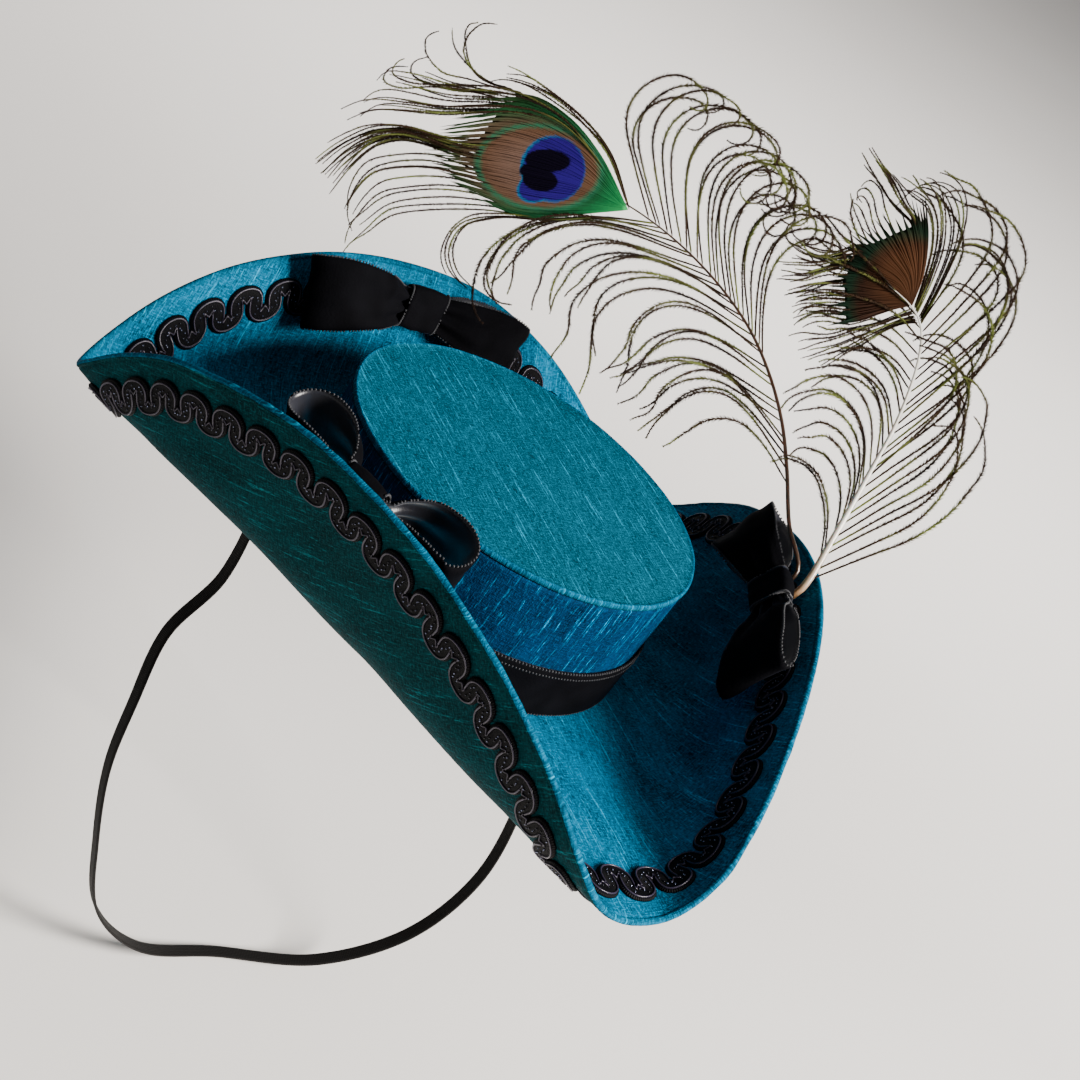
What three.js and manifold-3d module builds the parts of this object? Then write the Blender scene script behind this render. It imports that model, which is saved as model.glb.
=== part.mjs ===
import * as THREE from "three";
import { mergeVertices } from "three/addons/utils/BufferGeometryUtils.js";
import Module from "manifold-3d";

// A small tricorn hat of shot silk, with velvet bows, gimp braid and two peacock feathers.
// Millimetres, +Z up the crown. The origin is the middle of the crown's base, on the brim's upper face.
// -Y is the front point of the brim, +X is the wearer's left.

// Clearance kept between two pieces that touch.
const gap = 0.3;

// Crown
const crownRadius = 63.7;
const crownHeight = 48.9;
const crownBaseShare = 0.976; // the crown narrows a little towards its base
const crownWall = 2;
const tipThickness = 2.2;
const tipEdge = 0.8;

// Velvet band round the crown's foot
const bandHeight = 19;
const bandThickness = 1.2;

// Brim
const brimWall = 2;
const brimReach = 147.5; // from the middle of the crown to the front point
const flapHeight = 61;
const foldReach = 22; // how far the fold's rounding runs to each side of its crease
const foldLimit = 0.9; // share of the flat or the flap that a fold may take up
const rimBead = 0.6; // how far the rim's rounding stands out

// Gimp braid, on both faces of the brim
const braidWidth = 14;
const braidInset = 7;
const braidThickness = 1.8;

// Bows, each at the middle of a flap's inner face
const bowDrop = 13; // below the rim
const ribbonWidth = 24;
const ribbonWall = 1;
const loopLength = 42;
const loopPuff = 14;
const knotLength = 14;
const knotWall = 1.2;
const knotHeight = 15;
const knotDepth = 6.8;
const knotGather = 2; // each loop's ribbon ends this far from the middle of the knot

// Feathers
const longFeather = 172; // shaft, from the bow to the middle of the eye
const shortFeather = 126;
const longQuill = 1.9; // diameter at the foot
const shortQuill = 2.6;
const quillTip = 0.7;
const barbWidth = 1.1;
const barbTipWidth = 0.5;
const barbSplay = 0.12; // slope of the barbs out of the vane, some forwards and some back
const eyeThickness = 0.9;
const quillSpread = 11; // between the feet of the two quills
const quillHeel = 10; // length of quill tucked behind the bow
const quillClear = 1; // the quills start to lift this far past the knot
const vaneAzimuth = 44; // the vanes face this far from the front to the wearer's right, in degrees
const vaneElevation = 25.8; // and this far up
const vaneRoll = 35.5; // the feathers' foot line tips this far over to the rear flap
const longLean = 8; // each vane leans back from there
const shortLean = 12;

// Elastic strap
const strapWidth = 5;
const strapThickness = 1;
const strapSpread = 85.5; // half the width of its loop
const strapDrop = 176;
const strapBack = 24; // it is sewn on this far behind the middle of the crown
const strapTab = 15; // its sewn end, flat under the brim
const strapBend = 5;

// Half of the rim, from the front point round the wearer's left to the middle of the rear flap.
// angle in degrees from +X, reach and crease as shares of brimReach, rise as a share of flapHeight.
const rimRows = [
  { angle: -90, reach: 1.0, rise: -0.025, crease: 0.956 },
  { angle: -84, reach: 1.001, rise: 0.054, crease: 0.942 },
  { angle: -79, reach: 0.98, rise: 0.23, crease: 0.895 },
  { angle: -73, reach: 0.919, rise: 0.459, crease: 0.81 },
  { angle: -65, reach: 0.843, rise: 0.664, crease: 0.719 },
  { angle: -50, reach: 0.755, rise: 0.884, crease: 0.609 },
  { angle: -30, reach: 0.716, rise: 0.993, crease: 0.549 },
  { angle: -10, reach: 0.739, rise: 0.946, crease: 0.57 },
  { angle: 3, reach: 0.792, rise: 0.807, crease: 0.627 },
  { angle: 13, reach: 0.854, rise: 0.623, crease: 0.705 },
  { angle: 20, reach: 0.904, rise: 0.398, crease: 0.79 },
  { angle: 25.5, reach: 0.939, rise: 0.18, crease: 0.868 },
  { angle: 31, reach: 0.949, rise: 0.041, crease: 0.908 },
  { angle: 36.5, reach: 0.933, rise: 0.107, crease: 0.881 },
  { angle: 43, reach: 0.898, rise: 0.295, crease: 0.814 },
  { angle: 52, reach: 0.846, rise: 0.516, crease: 0.719 },
  { angle: 66, reach: 0.773, rise: 0.741, crease: 0.617 },
  { angle: 90, reach: 0.708, rise: 0.877, crease: 0.563 },
];

// One ribbon loop outside its knot, out along the flap and back again.
// along as a share of loopLength, puff of loopPuff, width of ribbonWidth.
const loopRows = [
  { along: 0.45, puff: 0.0, width: 0.92 },
  { along: 0.76, puff: 0.0, width: 1.0 },
  { along: 0.94, puff: 0.15, width: 1.0 },
  { along: 1.0, puff: 0.48, width: 1.0 },
  { along: 0.94, puff: 0.84, width: 1.0 },
  { along: 0.75, puff: 1.0, width: 1.0 },
  { along: 0.44, puff: 0.86, width: 0.92 },
  { along: 0.28, puff: 0.5, width: 0.72 },
];

// The angle of each bow's knot on the brim. The quills run behind the left one.
const bows = [
  { name: "rear_bow", angle: 90, overQuills: false },
  { name: "right_bow", angle: 206, overQuills: false },
  { name: "left_bow", angle: -28, overQuills: true },
];

// Each feather's shaft from the bow to the middle of its eye, as shares of its length:
// across to the wearer's left, up along the feather.
const longShaftRows = [
  { across: 0, up: 0 },
  { across: -0.015, up: 0.09 },
  { across: -0.018, up: 0.199 },
  { across: -0.027, up: 0.298 },
  { across: -0.053, up: 0.4 },
  { across: -0.094, up: 0.493 },
  { across: -0.168, up: 0.596 },
  { across: -0.268, up: 0.692 },
  { across: -0.369, up: 0.76 },
  { across: -0.498, up: 0.815 },
];
const shortShaftRows = [
  { across: 0, up: 0 },
  { across: 0.096, up: 0.151 },
  { across: 0.19, up: 0.316 },
  { across: 0.263, up: 0.448 },
  { across: 0.327, up: 0.62 },
  { across: 0.338, up: 0.72 },
  { across: 0.316, up: 0.771 },
  { across: 0.214, up: 0.861 },
];

// Locks of barbs; the ones between two rows follow both. at and length are shares of the feather's
// length, leave is the angle off the shaft at the root and turn the bend from there to the tip, in
// degrees. A higher curl keeps the bend for the tip.
const longBarbs = {
  left: [
    { at: 0.15, length: 0.34, leave: 31, turn: 110, curl: 2 },
    { at: 0.31, length: 0.34, leave: 42, turn: 70, curl: 1.8 },
    { at: 0.46, length: 0.5, leave: 28, turn: 130, curl: 1.8 },
    { at: 0.6, length: 0.4, leave: 26, turn: 100, curl: 1.8 },
    { at: 0.76, length: 0.52, leave: 27, turn: 180, curl: 2 },
    { at: 0.9, length: 0.5, leave: 20, turn: 60, curl: 1.5 },
    { at: 0.99, length: 0.5, leave: 8, turn: 20, curl: 1 },
  ],
  right: [
    { at: 0.12, length: 0.36, leave: -16, turn: -60, curl: 2 },
    { at: 0.3, length: 0.4, leave: -20, turn: -110, curl: 2.2 },
    { at: 0.48, length: 0.52, leave: -26, turn: -300, curl: 3 },
    { at: 0.66, length: 0.5, leave: -37, turn: -235, curl: 2.4 },
    { at: 0.78, length: 0.47, leave: -37, turn: -250, curl: 3 },
    { at: 0.9, length: 0.34, leave: -36, turn: -70, curl: 2 },
    { at: 0.99, length: 0.32, leave: -20, turn: 30, curl: 1.5 },
  ],
};
const shortBarbs = {
  left: [
    { at: 0.09, length: 0.37, leave: 22, turn: 120, curl: 1.8 },
    { at: 0.3, length: 0.45, leave: 22, turn: 150, curl: 1.5 },
    { at: 0.45, length: 0.38, leave: 26, turn: 125, curl: 1.3 },
    { at: 0.57, length: 0.28, leave: 28, turn: 80, curl: 1.2 },
    { at: 0.72, length: 0.3, leave: 50, turn: 55, curl: 1 },
    { at: 0.86, length: 0.33, leave: 30, turn: 30, curl: 1 },
    { at: 0.99, length: 0.28, leave: 10, turn: -10, curl: 1 },
  ],
  right: [
    { at: 0.04, length: 0.68, leave: -33, turn: 123, curl: 4 },
    { at: 0.17, length: 0.69, leave: -31, turn: 188, curl: 4 },
    { at: 0.36, length: 0.6, leave: -23, turn: 158, curl: 2.5 },
    { at: 0.49, length: 0.71, leave: -25, turn: 170, curl: 4 },
    { at: 0.67, length: 0.66, leave: -32, turn: 178, curl: 3 },
    { at: 0.8, length: 0.68, leave: -36, turn: 145, curl: 2.2 },
    { at: 0.88, length: 0.46, leave: -60, turn: 90, curl: 1.6 },
    { at: 0.99, length: 0.3, leave: -30, turn: -20, curl: 1 },
  ],
};

// Each vane's locks to a side, how far a side dishes out of its plane, and the leaf of its eye in shares
// of the feather's length.
const longVane = {
  locks: 17,
  dish: { left: 0.16, right: -0.14 },
  eye: { at: 0.99, length: 0.23, width: 0.16 },
};
const shortVane = {
  locks: 14,
  dish: { left: 0.14, right: 0.06 },
  eye: { at: 0.97, length: 0.25, width: 0.2 },
};

// Right half of the strap, down to the middle of its loop: out as a share of strapSpread, down of
// strapDrop and back of strapBack.
const strapRows = [
  { out: 0.79, back: 0.72, down: 0.172 },
  { out: 0.912, back: 0.54, down: 0.301 },
  { out: 0.982, back: 0, down: 0.415 },
  { out: 1, back: -0.375, down: 0.534 },
  { out: 0.936, back: -0.75, down: 0.676 },
  { out: 0.772, back: -0.83, down: 0.841 },
  { out: 0.444, back: -0.7, down: 0.96 },
  { out: 0, back: -0.42, down: 1 },
];

// How finely the pieces are faceted.
const crownSides = 48;
const widestBrimStep = 8; // degrees
const stepsBelowBraid = 7;
const knotCorners = 12;
const shaftSteps = 14;
const shaftSides = 6;
const barbSteps = 5;
const barbSides = 3;
const eyeSides = 20;
const strapSteps = 56;

const silk = { color: 0x1e6f7f, roughness: 0.5, metalness: 0.1 };
const crownSilk = { color: 0x12466b, roughness: 0.5, metalness: 0.1 };
const velvet = { color: 0x0a0a0b, roughness: 0.95, metalness: 0 };
const gimp = { color: 0x15151a, roughness: 0.45, metalness: 0 };
const plume = { color: 0x3c3d22, roughness: 0.6, metalness: 0 };
const elastic = { color: 0x0c0c0d, roughness: 0.85, metalness: 0 };

const wasm = await Module();
wasm.setup();
const hat = new THREE.Group();

function addMesh(name, geometry, finish) {
  const mesh = new THREE.Mesh(geometry, new THREE.MeshStandardMaterial(finish));
  mesh.name = name;
  hat.add(mesh);
  return mesh;
}

// Value of a column on a smooth curve through all the rows. The first row and the last only steer it.
function smooth(rows, column, key, at) {
  let i = 1;
  while (i < rows.length - 3 && at > rows[i + 1][column]) i += 1;
  const [before, from, to, after] = rows.slice(i - 1, i + 3);
  const span = to[column] - from[column];
  const slopeIn = slopeAt(before, from, to, column, key);
  const slopeOut = slopeAt(from, to, after, column, key);
  const t = (at - from[column]) / span;
  const fromWeight = (1 + 2 * t) * (1 - t) ** 2;
  const slopeInWeight = t * (1 - t) ** 2;
  const slopeOutWeight = -(t ** 2) * (1 - t);
  return fromWeight * from[key] + (1 - fromWeight) * to[key]
    + span * (slopeInWeight * slopeIn + slopeOutWeight * slopeOut);
}

function slopeAt(before, here, after, column, key) {
  const spanBefore = here[column] - before[column];
  const spanAfter = after[column] - here[column];
  const riseBefore = (here[key] - before[key]) / spanBefore;
  const riseAfter = (after[key] - here[key]) / spanAfter;
  return (riseBefore * spanAfter + riseAfter * spanBefore) / (spanBefore + spanAfter);
}

// Value of a column on the straight line between two rows.
function between(rows, column, key, at) {
  let i = 0;
  while (i < rows.length - 2 && at > rows[i + 1][column]) i += 1;
  const share = (at - rows[i][column]) / (rows[i + 1][column] - rows[i][column]);
  return THREE.MathUtils.lerp(rows[i][key], rows[i + 1][key], share);
}

// The whole rim: the half, its mirror image, and a row more at each end so that it closes smoothly.
const mirrored = rimRows.slice(1, -1).reverse().map((row) => ({ ...row, angle: 180 - row.angle }));
const halfTurn = [...rimRows, ...mirrored];
const wholeRim = [
  { ...halfTurn.at(-1), angle: halfTurn.at(-1).angle - 360 },
  ...halfTurn,
  { ...halfTurn[0], angle: halfTurn[0].angle + 360 },
  { ...halfTurn[1], angle: halfTurn[1].angle + 360 },
];

const openingRadius = crownRadius * crownBaseShare - crownWall;
const profiles = new Map();

// The brim's middle surface at one angle, from the rim over the fold to the opening under the crown.
function brimProfile(angle) {
  const key = angle.toFixed(4);
  if (profiles.has(key)) return profiles.get(key);
  const turned = ((((angle + 90) % 360) + 360) % 360) - 90;
  const baseHeight = -brimWall / 2;
  const reach = smooth(wholeRim, "angle", "reach", turned) * brimReach;
  const rise = smooth(wholeRim, "angle", "rise", turned) * flapHeight;
  const crease = smooth(wholeRim, "angle", "crease", turned) * brimReach;
  const inner = new THREE.Vector2(openingRadius, baseHeight);
  const corner = new THREE.Vector2(crease, baseHeight);
  const rim = new THREE.Vector2(reach, rise);
  const foldShare = (end) => Math.min(foldReach / corner.distanceTo(end), foldLimit);
  const foldIn = corner.clone().lerp(inner, foldShare(inner));
  const foldOut = corner.clone().lerp(rim, foldShare(rim));
  const path = new THREE.CurvePath();
  path.add(new THREE.LineCurve(rim, foldOut));
  path.add(new THREE.QuadraticBezierCurve(foldOut, corner, foldIn));
  path.add(new THREE.LineCurve(foldIn, inner));
  profiles.set(key, path);
  return path;
}

// A point of the brim's middle surface, drop mm in from the rim along the cloth.
function brimPoint(angle, drop) {
  const path = brimProfile(angle);
  const length = path.getLength();
  const point = path.getPoint(THREE.MathUtils.clamp(drop / length, 0, 1));
  const turn = THREE.MathUtils.degToRad(angle);
  return new THREE.Vector3(point.x * Math.cos(turn), point.x * Math.sin(turn), point.y);
}

// A point lift mm above the middle surface: positive on the upper face, negative underneath.
function onBrim(angle, drop, lift) {
  const turnStep = 0.5;
  const dropStep = 0.5;
  const length = brimProfile(angle).getLength();
  const inside = THREE.MathUtils.clamp(drop, dropStep, length - dropStep);
  const round = brimPoint(angle + turnStep, inside).sub(brimPoint(angle - turnStep, inside));
  const inwards = brimPoint(angle, inside + dropStep).sub(brimPoint(angle, inside - dropStep));
  const normal = round.cross(inwards).normalize();
  return brimPoint(angle, drop).addScaledVector(normal, lift);
}

// Sections of the brim: the rows of the table, and more between rows that lie far apart.
const sectionAngles = [];
wholeRim.slice(1, -2).forEach((row, i) => {
  const next = wholeRim[i + 2];
  const steps = Math.max(2, Math.ceil((next.angle - row.angle) / widestBrimStep));
  for (let step = 0; step < steps; step += 1) {
    sectionAngles.push(row.angle + ((next.angle - row.angle) * step) / steps);
  }
});

// A closed solid through rings of points. Its last ring meets the first, or both ends are capped.
function loft(rings, closed) {
  const count = rings[0].length;
  const positions = rings.flat().flatMap((point) => point.toArray());
  const index = [];
  const last = closed ? rings.length : rings.length - 1;
  for (let i = 0; i < last; i += 1) {
    const here = i * count;
    const next = ((i + 1) % rings.length) * count;
    for (let j = 0; j < count; j += 1) {
      const k = (j + 1) % count;
      const forward = rings[i][j].distanceTo(rings[(i + 1) % rings.length][k]);
      const backward = rings[i][k].distanceTo(rings[(i + 1) % rings.length][j]);
      if (forward < backward) {
        index.push(here + j, here + k, next + k, here + j, next + k, next + j);
      } else {
        index.push(here + j, here + k, next + j, here + k, next + k, next + j);
      }
    }
  }
  if (!closed) {
    const end = (rings.length - 1) * count;
    for (let j = 1; j < count - 1; j += 1) {
      index.push(0, j + 1, j, end, end + j, end + j + 1);
    }
  }
  const geometry = new THREE.BufferGeometry();
  geometry.setAttribute("position", new THREE.Float32BufferAttribute(positions, 3));
  geometry.setIndex(index);
  return geometry;
}

// A ring turned about the crown's axis from a closed outline of [radius, height] corners.
function turnedRing(outline) {
  const points = [...outline, outline[0]].map(([radius, height]) => new THREE.Vector2(radius, height));
  return new THREE.LatheGeometry(points, crownSides).rotateX(Math.PI / 2);
}

function makeCrown() {
  const radiusAt = (height) => crownRadius * (crownBaseShare + ((1 - crownBaseShare) * height) / crownHeight);
  const foot = gap;
  const top = crownHeight - tipThickness - gap;
  addMesh("crown_side", turnedRing([
    [radiusAt(foot), foot],
    [radiusAt(top), top],
    [radiusAt(top) - crownWall, top],
    [radiusAt(foot) - crownWall, foot],
  ]), crownSilk);

  const tipBottom = crownHeight - tipThickness;
  const tipOutline = [
    [0, tipBottom],
    [crownRadius, tipBottom],
    [crownRadius, crownHeight - tipEdge],
    [crownRadius - tipEdge, crownHeight],
    [0, crownHeight],
  ].map(([radius, height]) => new THREE.Vector2(radius, height));
  addMesh("crown_tip", new THREE.LatheGeometry(tipOutline, crownSides).rotateX(Math.PI / 2), silk);

  const bandTop = foot + bandHeight;
  addMesh("crown_band", turnedRing([
    [radiusAt(foot) + gap + bandThickness, foot],
    [radiusAt(bandTop) + gap + bandThickness, bandTop],
    [radiusAt(bandTop) + gap, bandTop],
    [radiusAt(foot) + gap, foot],
  ]), velvet);
}

function makeBrim() {
  const rings = sectionAngles.map((angle) => {
    const length = brimProfile(angle).getLength();
    const braidEnd = braidInset + braidWidth;
    const drops = [0, braidInset, braidInset + braidWidth / 2, braidEnd];
    for (let step = 1; step <= stepsBelowBraid; step += 1) {
      drops.push(braidEnd + ((length - braidEnd) * step) / stepsBelowBraid);
    }
    const upper = drops.map((drop) => onBrim(angle, drop, brimWall / 2));
    const under = drops.map((drop) => onBrim(angle, drop, -brimWall / 2));
    const outwards = brimPoint(angle, 0).sub(brimPoint(angle, 1));
    const bead = brimPoint(angle, 0).addScaledVector(outwards, rimBead);
    return [bead, ...under, ...upper.reverse()];
  });
  addMesh("brim", loft(rings, true), silk);
}

// Braid on one face of the brim; side is 1 on the upper face and -1 underneath.
function makeBraid(name, side) {
  const near = brimWall / 2 + gap;
  const far = near + braidThickness;
  const drops = [braidInset, braidInset + braidWidth / 2, braidInset + braidWidth];
  const rings = sectionAngles.map((angle) => {
    const seat = drops.map((drop) => onBrim(angle, drop, side * near));
    const face = drops.map((drop) => onBrim(angle, drop, side * far)).reverse();
    const ring = [...seat, ...face];
    return side > 0 ? ring : ring.reverse();
  });
  addMesh(name, loft(rings, true), gimp);
}

const overBraid = brimWall / 2 + gap + braidThickness;

// The angle on the brim that matches a length along the flap from a bow's knot.
function angleAlong(bow, along) {
  const place = brimPoint(bow.angle, bowDrop);
  return THREE.MathUtils.radToDeg(along / Math.hypot(place.x, place.y));
}

// A point of a bow: along the flap from the knot, across the ribbon, lift off the bow's seat.
function onBow(bow, along, across, lift) {
  const room = bow.overQuills ? shortQuill + gap : 0;
  return onBrim(bow.angle + angleAlong(bow, along), bowDrop + across, overBraid + gap + room + lift);
}

function makeBowLoop(bow, name, side) {
  const pinched = knotHeight - 2 * knotWall - 2 * gap;
  const station = (along, lift, width) => ({ place: new THREE.Vector2(along, lift), width });
  const inKnot = (layer) => {
    const lift = knotDepth / 2 + (layer * (ribbonWall + gap)) / 2;
    return [station(knotGather, lift, pinched), station(knotLength / 2 + gap, lift, pinched)];
  };
  const outside = loopRows.map((row) => station(
    row.along * loopLength,
    row.puff * loopPuff + ribbonWall / 2,
    row.width * ribbonWidth,
  ));
  const path = [...inKnot(-1), ...outside, ...inKnot(1).reverse()];
  const rings = path.map(({ place, width }, i) => {
    const next = path[Math.min(i + 1, path.length - 1)].place;
    const tangent = next.clone().sub(path[Math.max(i - 1, 0)].place).normalize();
    const corner = (across, offset) => {
      const along = place.x - tangent.y * offset;
      const lift = place.y + tangent.x * offset;
      return onBow(bow, side * along, (across * width) / 2, lift);
    };
    const wall = ribbonWall / 2;
    const ring = [corner(-1, wall), corner(1, wall), corner(1, -wall), corner(-1, -wall)];
    return side > 0 ? ring.reverse() : ring;
  });
  addMesh(name, loft(rings, false), velvet);
}

// The knot is a wrap of ribbon round the pinched middle of the bow, square with rounded corners.
function makeKnot(bow, name) {
  const squared = (value) => Math.sign(value) * Math.sqrt(Math.abs(value));
  const half = knotLength / 2;
  const rings = [];
  for (let i = 0; i < knotCorners; i += 1) {
    const turn = (2 * Math.PI * (i + 0.5)) / knotCorners;
    const corner = (inset, along) => {
      const across = squared(Math.cos(turn)) * (knotHeight / 2 - inset);
      const lift = knotDepth / 2 + squared(Math.sin(turn)) * (knotDepth / 2 - inset);
      return onBow(bow, along, across, lift);
    };
    rings.push([corner(knotWall, -half), corner(knotWall, half), corner(0, half), corner(0, -half)]);
  }
  addMesh(name, loft(rings, true), velvet);
}

const quarterTurn = Math.PI / 2;
const splayTurn = 2.4; // radians from one barb's splay to the next

// A tapering rod along a curve, with its rings square to it.
function rod(curve, steps, sides, radiusAt) {
  const rings = [];
  for (let i = 0; i <= steps; i += 1) {
    const centre = curve.getPointAt(i / steps);
    const tangent = curve.getTangentAt(i / steps);
    const side = new THREE.Vector3(-tangent.y, tangent.x, 0).normalize();
    const front = tangent.clone().cross(side);
    const ring = [];
    for (let j = 0; j < sides; j += 1) {
      const turn = (2 * Math.PI * j) / sides + quarterTurn;
      ring.push(centre.clone()
        .addScaledVector(side, radiusAt(i / steps) * Math.cos(turn))
        .addScaledVector(front, radiusAt(i / steps) * Math.sin(turn)));
    }
    rings.push(ring);
  }
  return loft(rings, false);
}

function toSolid(geometry) {
  const merged = mergeVertices(geometry.clone());
  return new wasm.Manifold(new wasm.Mesh({
    numProp: 3,
    vertProperties: merged.attributes.position.array,
    triVerts: new Uint32Array(merged.index.array),
  }));
}

function fromSolid(solid) {
  const mesh = solid.getMesh();
  const geometry = new THREE.BufferGeometry();
  geometry.setAttribute("position", new THREE.BufferAttribute(mesh.vertProperties, 3));
  geometry.setIndex(new THREE.BufferAttribute(mesh.triVerts, 1));
  return geometry;
}

// The course of one barb, bending more and more towards its tip.
function barbCurve(root, tangent, row, length, splay) {
  const start = Math.atan2(tangent.y, tangent.x) + THREE.MathUtils.degToRad(row.leave);
  const points = [root];
  for (let i = 0; i < barbSteps; i += 1) {
    const share = (i + 0.5) / barbSteps;
    const heading = start + THREE.MathUtils.degToRad(row.turn) * share ** row.curl;
    const step = new THREE.Vector3(Math.cos(heading), Math.sin(heading), splay * (1 - share));
    const reach = (row.length * length) / barbSteps;
    points.push(points.at(-1).clone().addScaledVector(step.normalize(), reach));
  }
  return new THREE.CatmullRomCurve3(points);
}

// A feather: its shaft, its locks of barbs and the leaf of its eye, in one piece.
function makeFeather(name, feather) {
  const { length, shaftRows, barbs, quill, eye, locks } = feather;
  const heel = feather.heel.clone().sub(feather.foot).applyQuaternion(feather.turn.clone().invert());
  const shaft = new THREE.CatmullRomCurve3([
    heel,
    ...shaftRows.map((row) => new THREE.Vector3(row.across * length, row.up * length, 0)),
  ]);
  const total = shaft.getLength();
  const fromFoot = (at) => 1 - ((1 - at) * (total - quillHeel)) / total;
  const taper = (share) => THREE.MathUtils.lerp(quill / 2, quillTip / 2, share);
  const thin = (share) => THREE.MathUtils.lerp(barbWidth / 2, barbTipWidth / 2, share);
  let solid = toSolid(rod(shaft, shaftSteps, shaftSides, taper));

  for (const side of ["left", "right"]) {
    const rows = barbs[side];
    for (let i = 0; i < locks; i += 1) {
      const at = THREE.MathUtils.lerp(rows[0].at, rows.at(-1).at, i / (locks - 1));
      const row = {};
      for (const key of ["length", "leave", "turn", "curl"]) row[key] = between(rows, "at", key, at);
      const splay = feather.dish[side] + barbSplay * Math.sin(i * splayTurn);
      const root = shaft.getPointAt(fromFoot(at));
      const barb = barbCurve(root, shaft.getTangentAt(fromFoot(at)), row, length, splay);
      solid = solid.add(toSolid(rod(barb, barbSteps, barbSides, thin)));
    }
  }

  const leaf = new THREE.CylinderGeometry(1, 1, eyeThickness, eyeSides).rotateX(quarterTurn);
  const centre = shaft.getPointAt(fromFoot(eye.at));
  const tangent = shaft.getTangentAt(fromFoot(eye.at));
  leaf.scale((eye.length * length) / 2, (eye.width * length) / 2, 1);
  leaf.rotateZ(Math.atan2(tangent.y, tangent.x));
  leaf.translate(centre.x, centre.y, centre.z);
  leaf.deleteAttribute("normal");
  leaf.deleteAttribute("uv");
  solid = solid.add(toSolid(leaf));

  const mesh = addMesh(name, fromSolid(solid), plume);
  mesh.position.copy(feather.foot);
  mesh.quaternion.copy(feather.turn);
}

// The turn of a vane from its own plane, across +X and up +Y, into its place on the hat.
function vaneTurn(lean) {
  const turnAbout = (x, y, z, degrees) => new THREE.Quaternion().setFromAxisAngle(
    new THREE.Vector3(x, y, z),
    THREE.MathUtils.degToRad(degrees),
  );
  return turnAbout(0, 0, 1, -vaneAzimuth)
    .multiply(turnAbout(1, 0, 0, 90 - vaneElevation))
    .multiply(turnAbout(0, 0, 1, vaneRoll))
    .multiply(turnAbout(1, 0, 0, -lean));
}

function makeFeathers() {
  const bow = bows.find(({ overQuills }) => overQuills);
  const footDrop = bowDrop - knotHeight / 2 - quillClear;
  const lift = overBraid + gap + shortQuill / 2;
  const quillAt = (along) => {
    const angle = bow.angle + angleAlong(bow, along);
    return { foot: onBrim(angle, footDrop, lift), heel: onBrim(angle, footDrop + quillHeel, lift) };
  };
  makeFeather("feather_long", {
    length: longFeather,
    shaftRows: longShaftRows,
    barbs: longBarbs,
    quill: longQuill,
    ...longVane,
    ...quillAt(quillSpread),
    turn: vaneTurn(longLean),
  });
  makeFeather("feather_short", {
    length: shortFeather,
    shaftRows: shortShaftRows,
    barbs: shortBarbs,
    quill: shortQuill,
    ...shortVane,
    ...quillAt(0),
    turn: vaneTurn(shortLean),
  });
}

// The strap is sewn on under the brim and lies flat round the head, its width from front to back.
function makeStrap() {
  const under = -brimWall - gap - strapThickness / 2;
  const right = [
    new THREE.Vector3(-openingRadius - strapTab, strapBack, under),
    new THREE.Vector3(-openingRadius - strapTab / 2, strapBack, under - gap),
    new THREE.Vector3(-openingRadius - strapBend, strapBack, under - strapBend),
    ...strapRows.map(({ out, back, down }) => (
      new THREE.Vector3(-out * strapSpread, back * strapBack, -down * strapDrop)
    )),
  ];
  const left = right.slice(0, -1).reverse().map((point) => new THREE.Vector3(-point.x, point.y, point.z));
  const course = new THREE.CatmullRomCurve3([...right, ...left], false, "centripetal");
  const rings = [];
  for (let i = 0; i <= strapSteps; i += 1) {
    const centre = course.getPointAt(i / strapSteps);
    const tangent = course.getTangentAt(i / strapSteps);
    const wide = new THREE.Vector3(0, 1, 0);
    wide.addScaledVector(tangent, -wide.dot(tangent)).normalize();
    const thick = tangent.clone().cross(wide);
    const corner = (across, out) => centre.clone()
      .addScaledVector(wide, (across * strapWidth) / 2)
      .addScaledVector(thick, (out * strapThickness) / 2);
    rings.push([corner(1, -1), corner(1, 1), corner(-1, 1), corner(-1, -1)]);
  }
  addMesh("elastic_strap", loft(rings, false), elastic);
}

makeCrown();
makeBrim();
makeBraid("braid_upper", 1);
makeBraid("braid_under", -1);
for (const bow of bows) {
  makeBowLoop(bow, `${bow.name}_loop_a`, 1);
  makeBowLoop(bow, `${bow.name}_loop_b`, -1);
  makeKnot(bow, `${bow.name}_knot`);
}
makeFeathers();
makeStrap();

export default hat;
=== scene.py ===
import math
import random

import bmesh
import bpy
import numpy
from mathutils import Matrix, Vector, noise


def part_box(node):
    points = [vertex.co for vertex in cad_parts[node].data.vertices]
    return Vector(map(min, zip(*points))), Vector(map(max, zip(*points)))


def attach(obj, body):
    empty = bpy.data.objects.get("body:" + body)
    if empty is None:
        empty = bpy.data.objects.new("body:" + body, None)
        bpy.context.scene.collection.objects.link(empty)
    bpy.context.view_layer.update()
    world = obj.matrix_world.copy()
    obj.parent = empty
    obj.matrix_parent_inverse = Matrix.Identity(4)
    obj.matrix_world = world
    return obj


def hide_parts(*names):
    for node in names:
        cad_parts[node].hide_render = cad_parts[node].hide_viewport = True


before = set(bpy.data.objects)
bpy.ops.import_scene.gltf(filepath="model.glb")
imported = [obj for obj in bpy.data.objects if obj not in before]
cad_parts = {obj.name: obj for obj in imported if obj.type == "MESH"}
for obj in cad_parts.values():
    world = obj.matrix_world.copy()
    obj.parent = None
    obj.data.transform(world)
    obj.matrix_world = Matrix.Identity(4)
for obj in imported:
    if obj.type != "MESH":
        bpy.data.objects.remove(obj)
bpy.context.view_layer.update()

# Camera: above the wearer's right front, rolled so that the crown leans to the right of the picture.
# It stands 77 cm from the crown's foot, with the view of a short telephoto lens.
mm = 0.001
camera_place = Vector((-463.0, -503.2, 360.8)) * mm
camera_right = Vector((0.7613, -0.3827, 0.5234)).normalized()
camera_back = Vector((-0.625, -0.6481, 0.4351))
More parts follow.
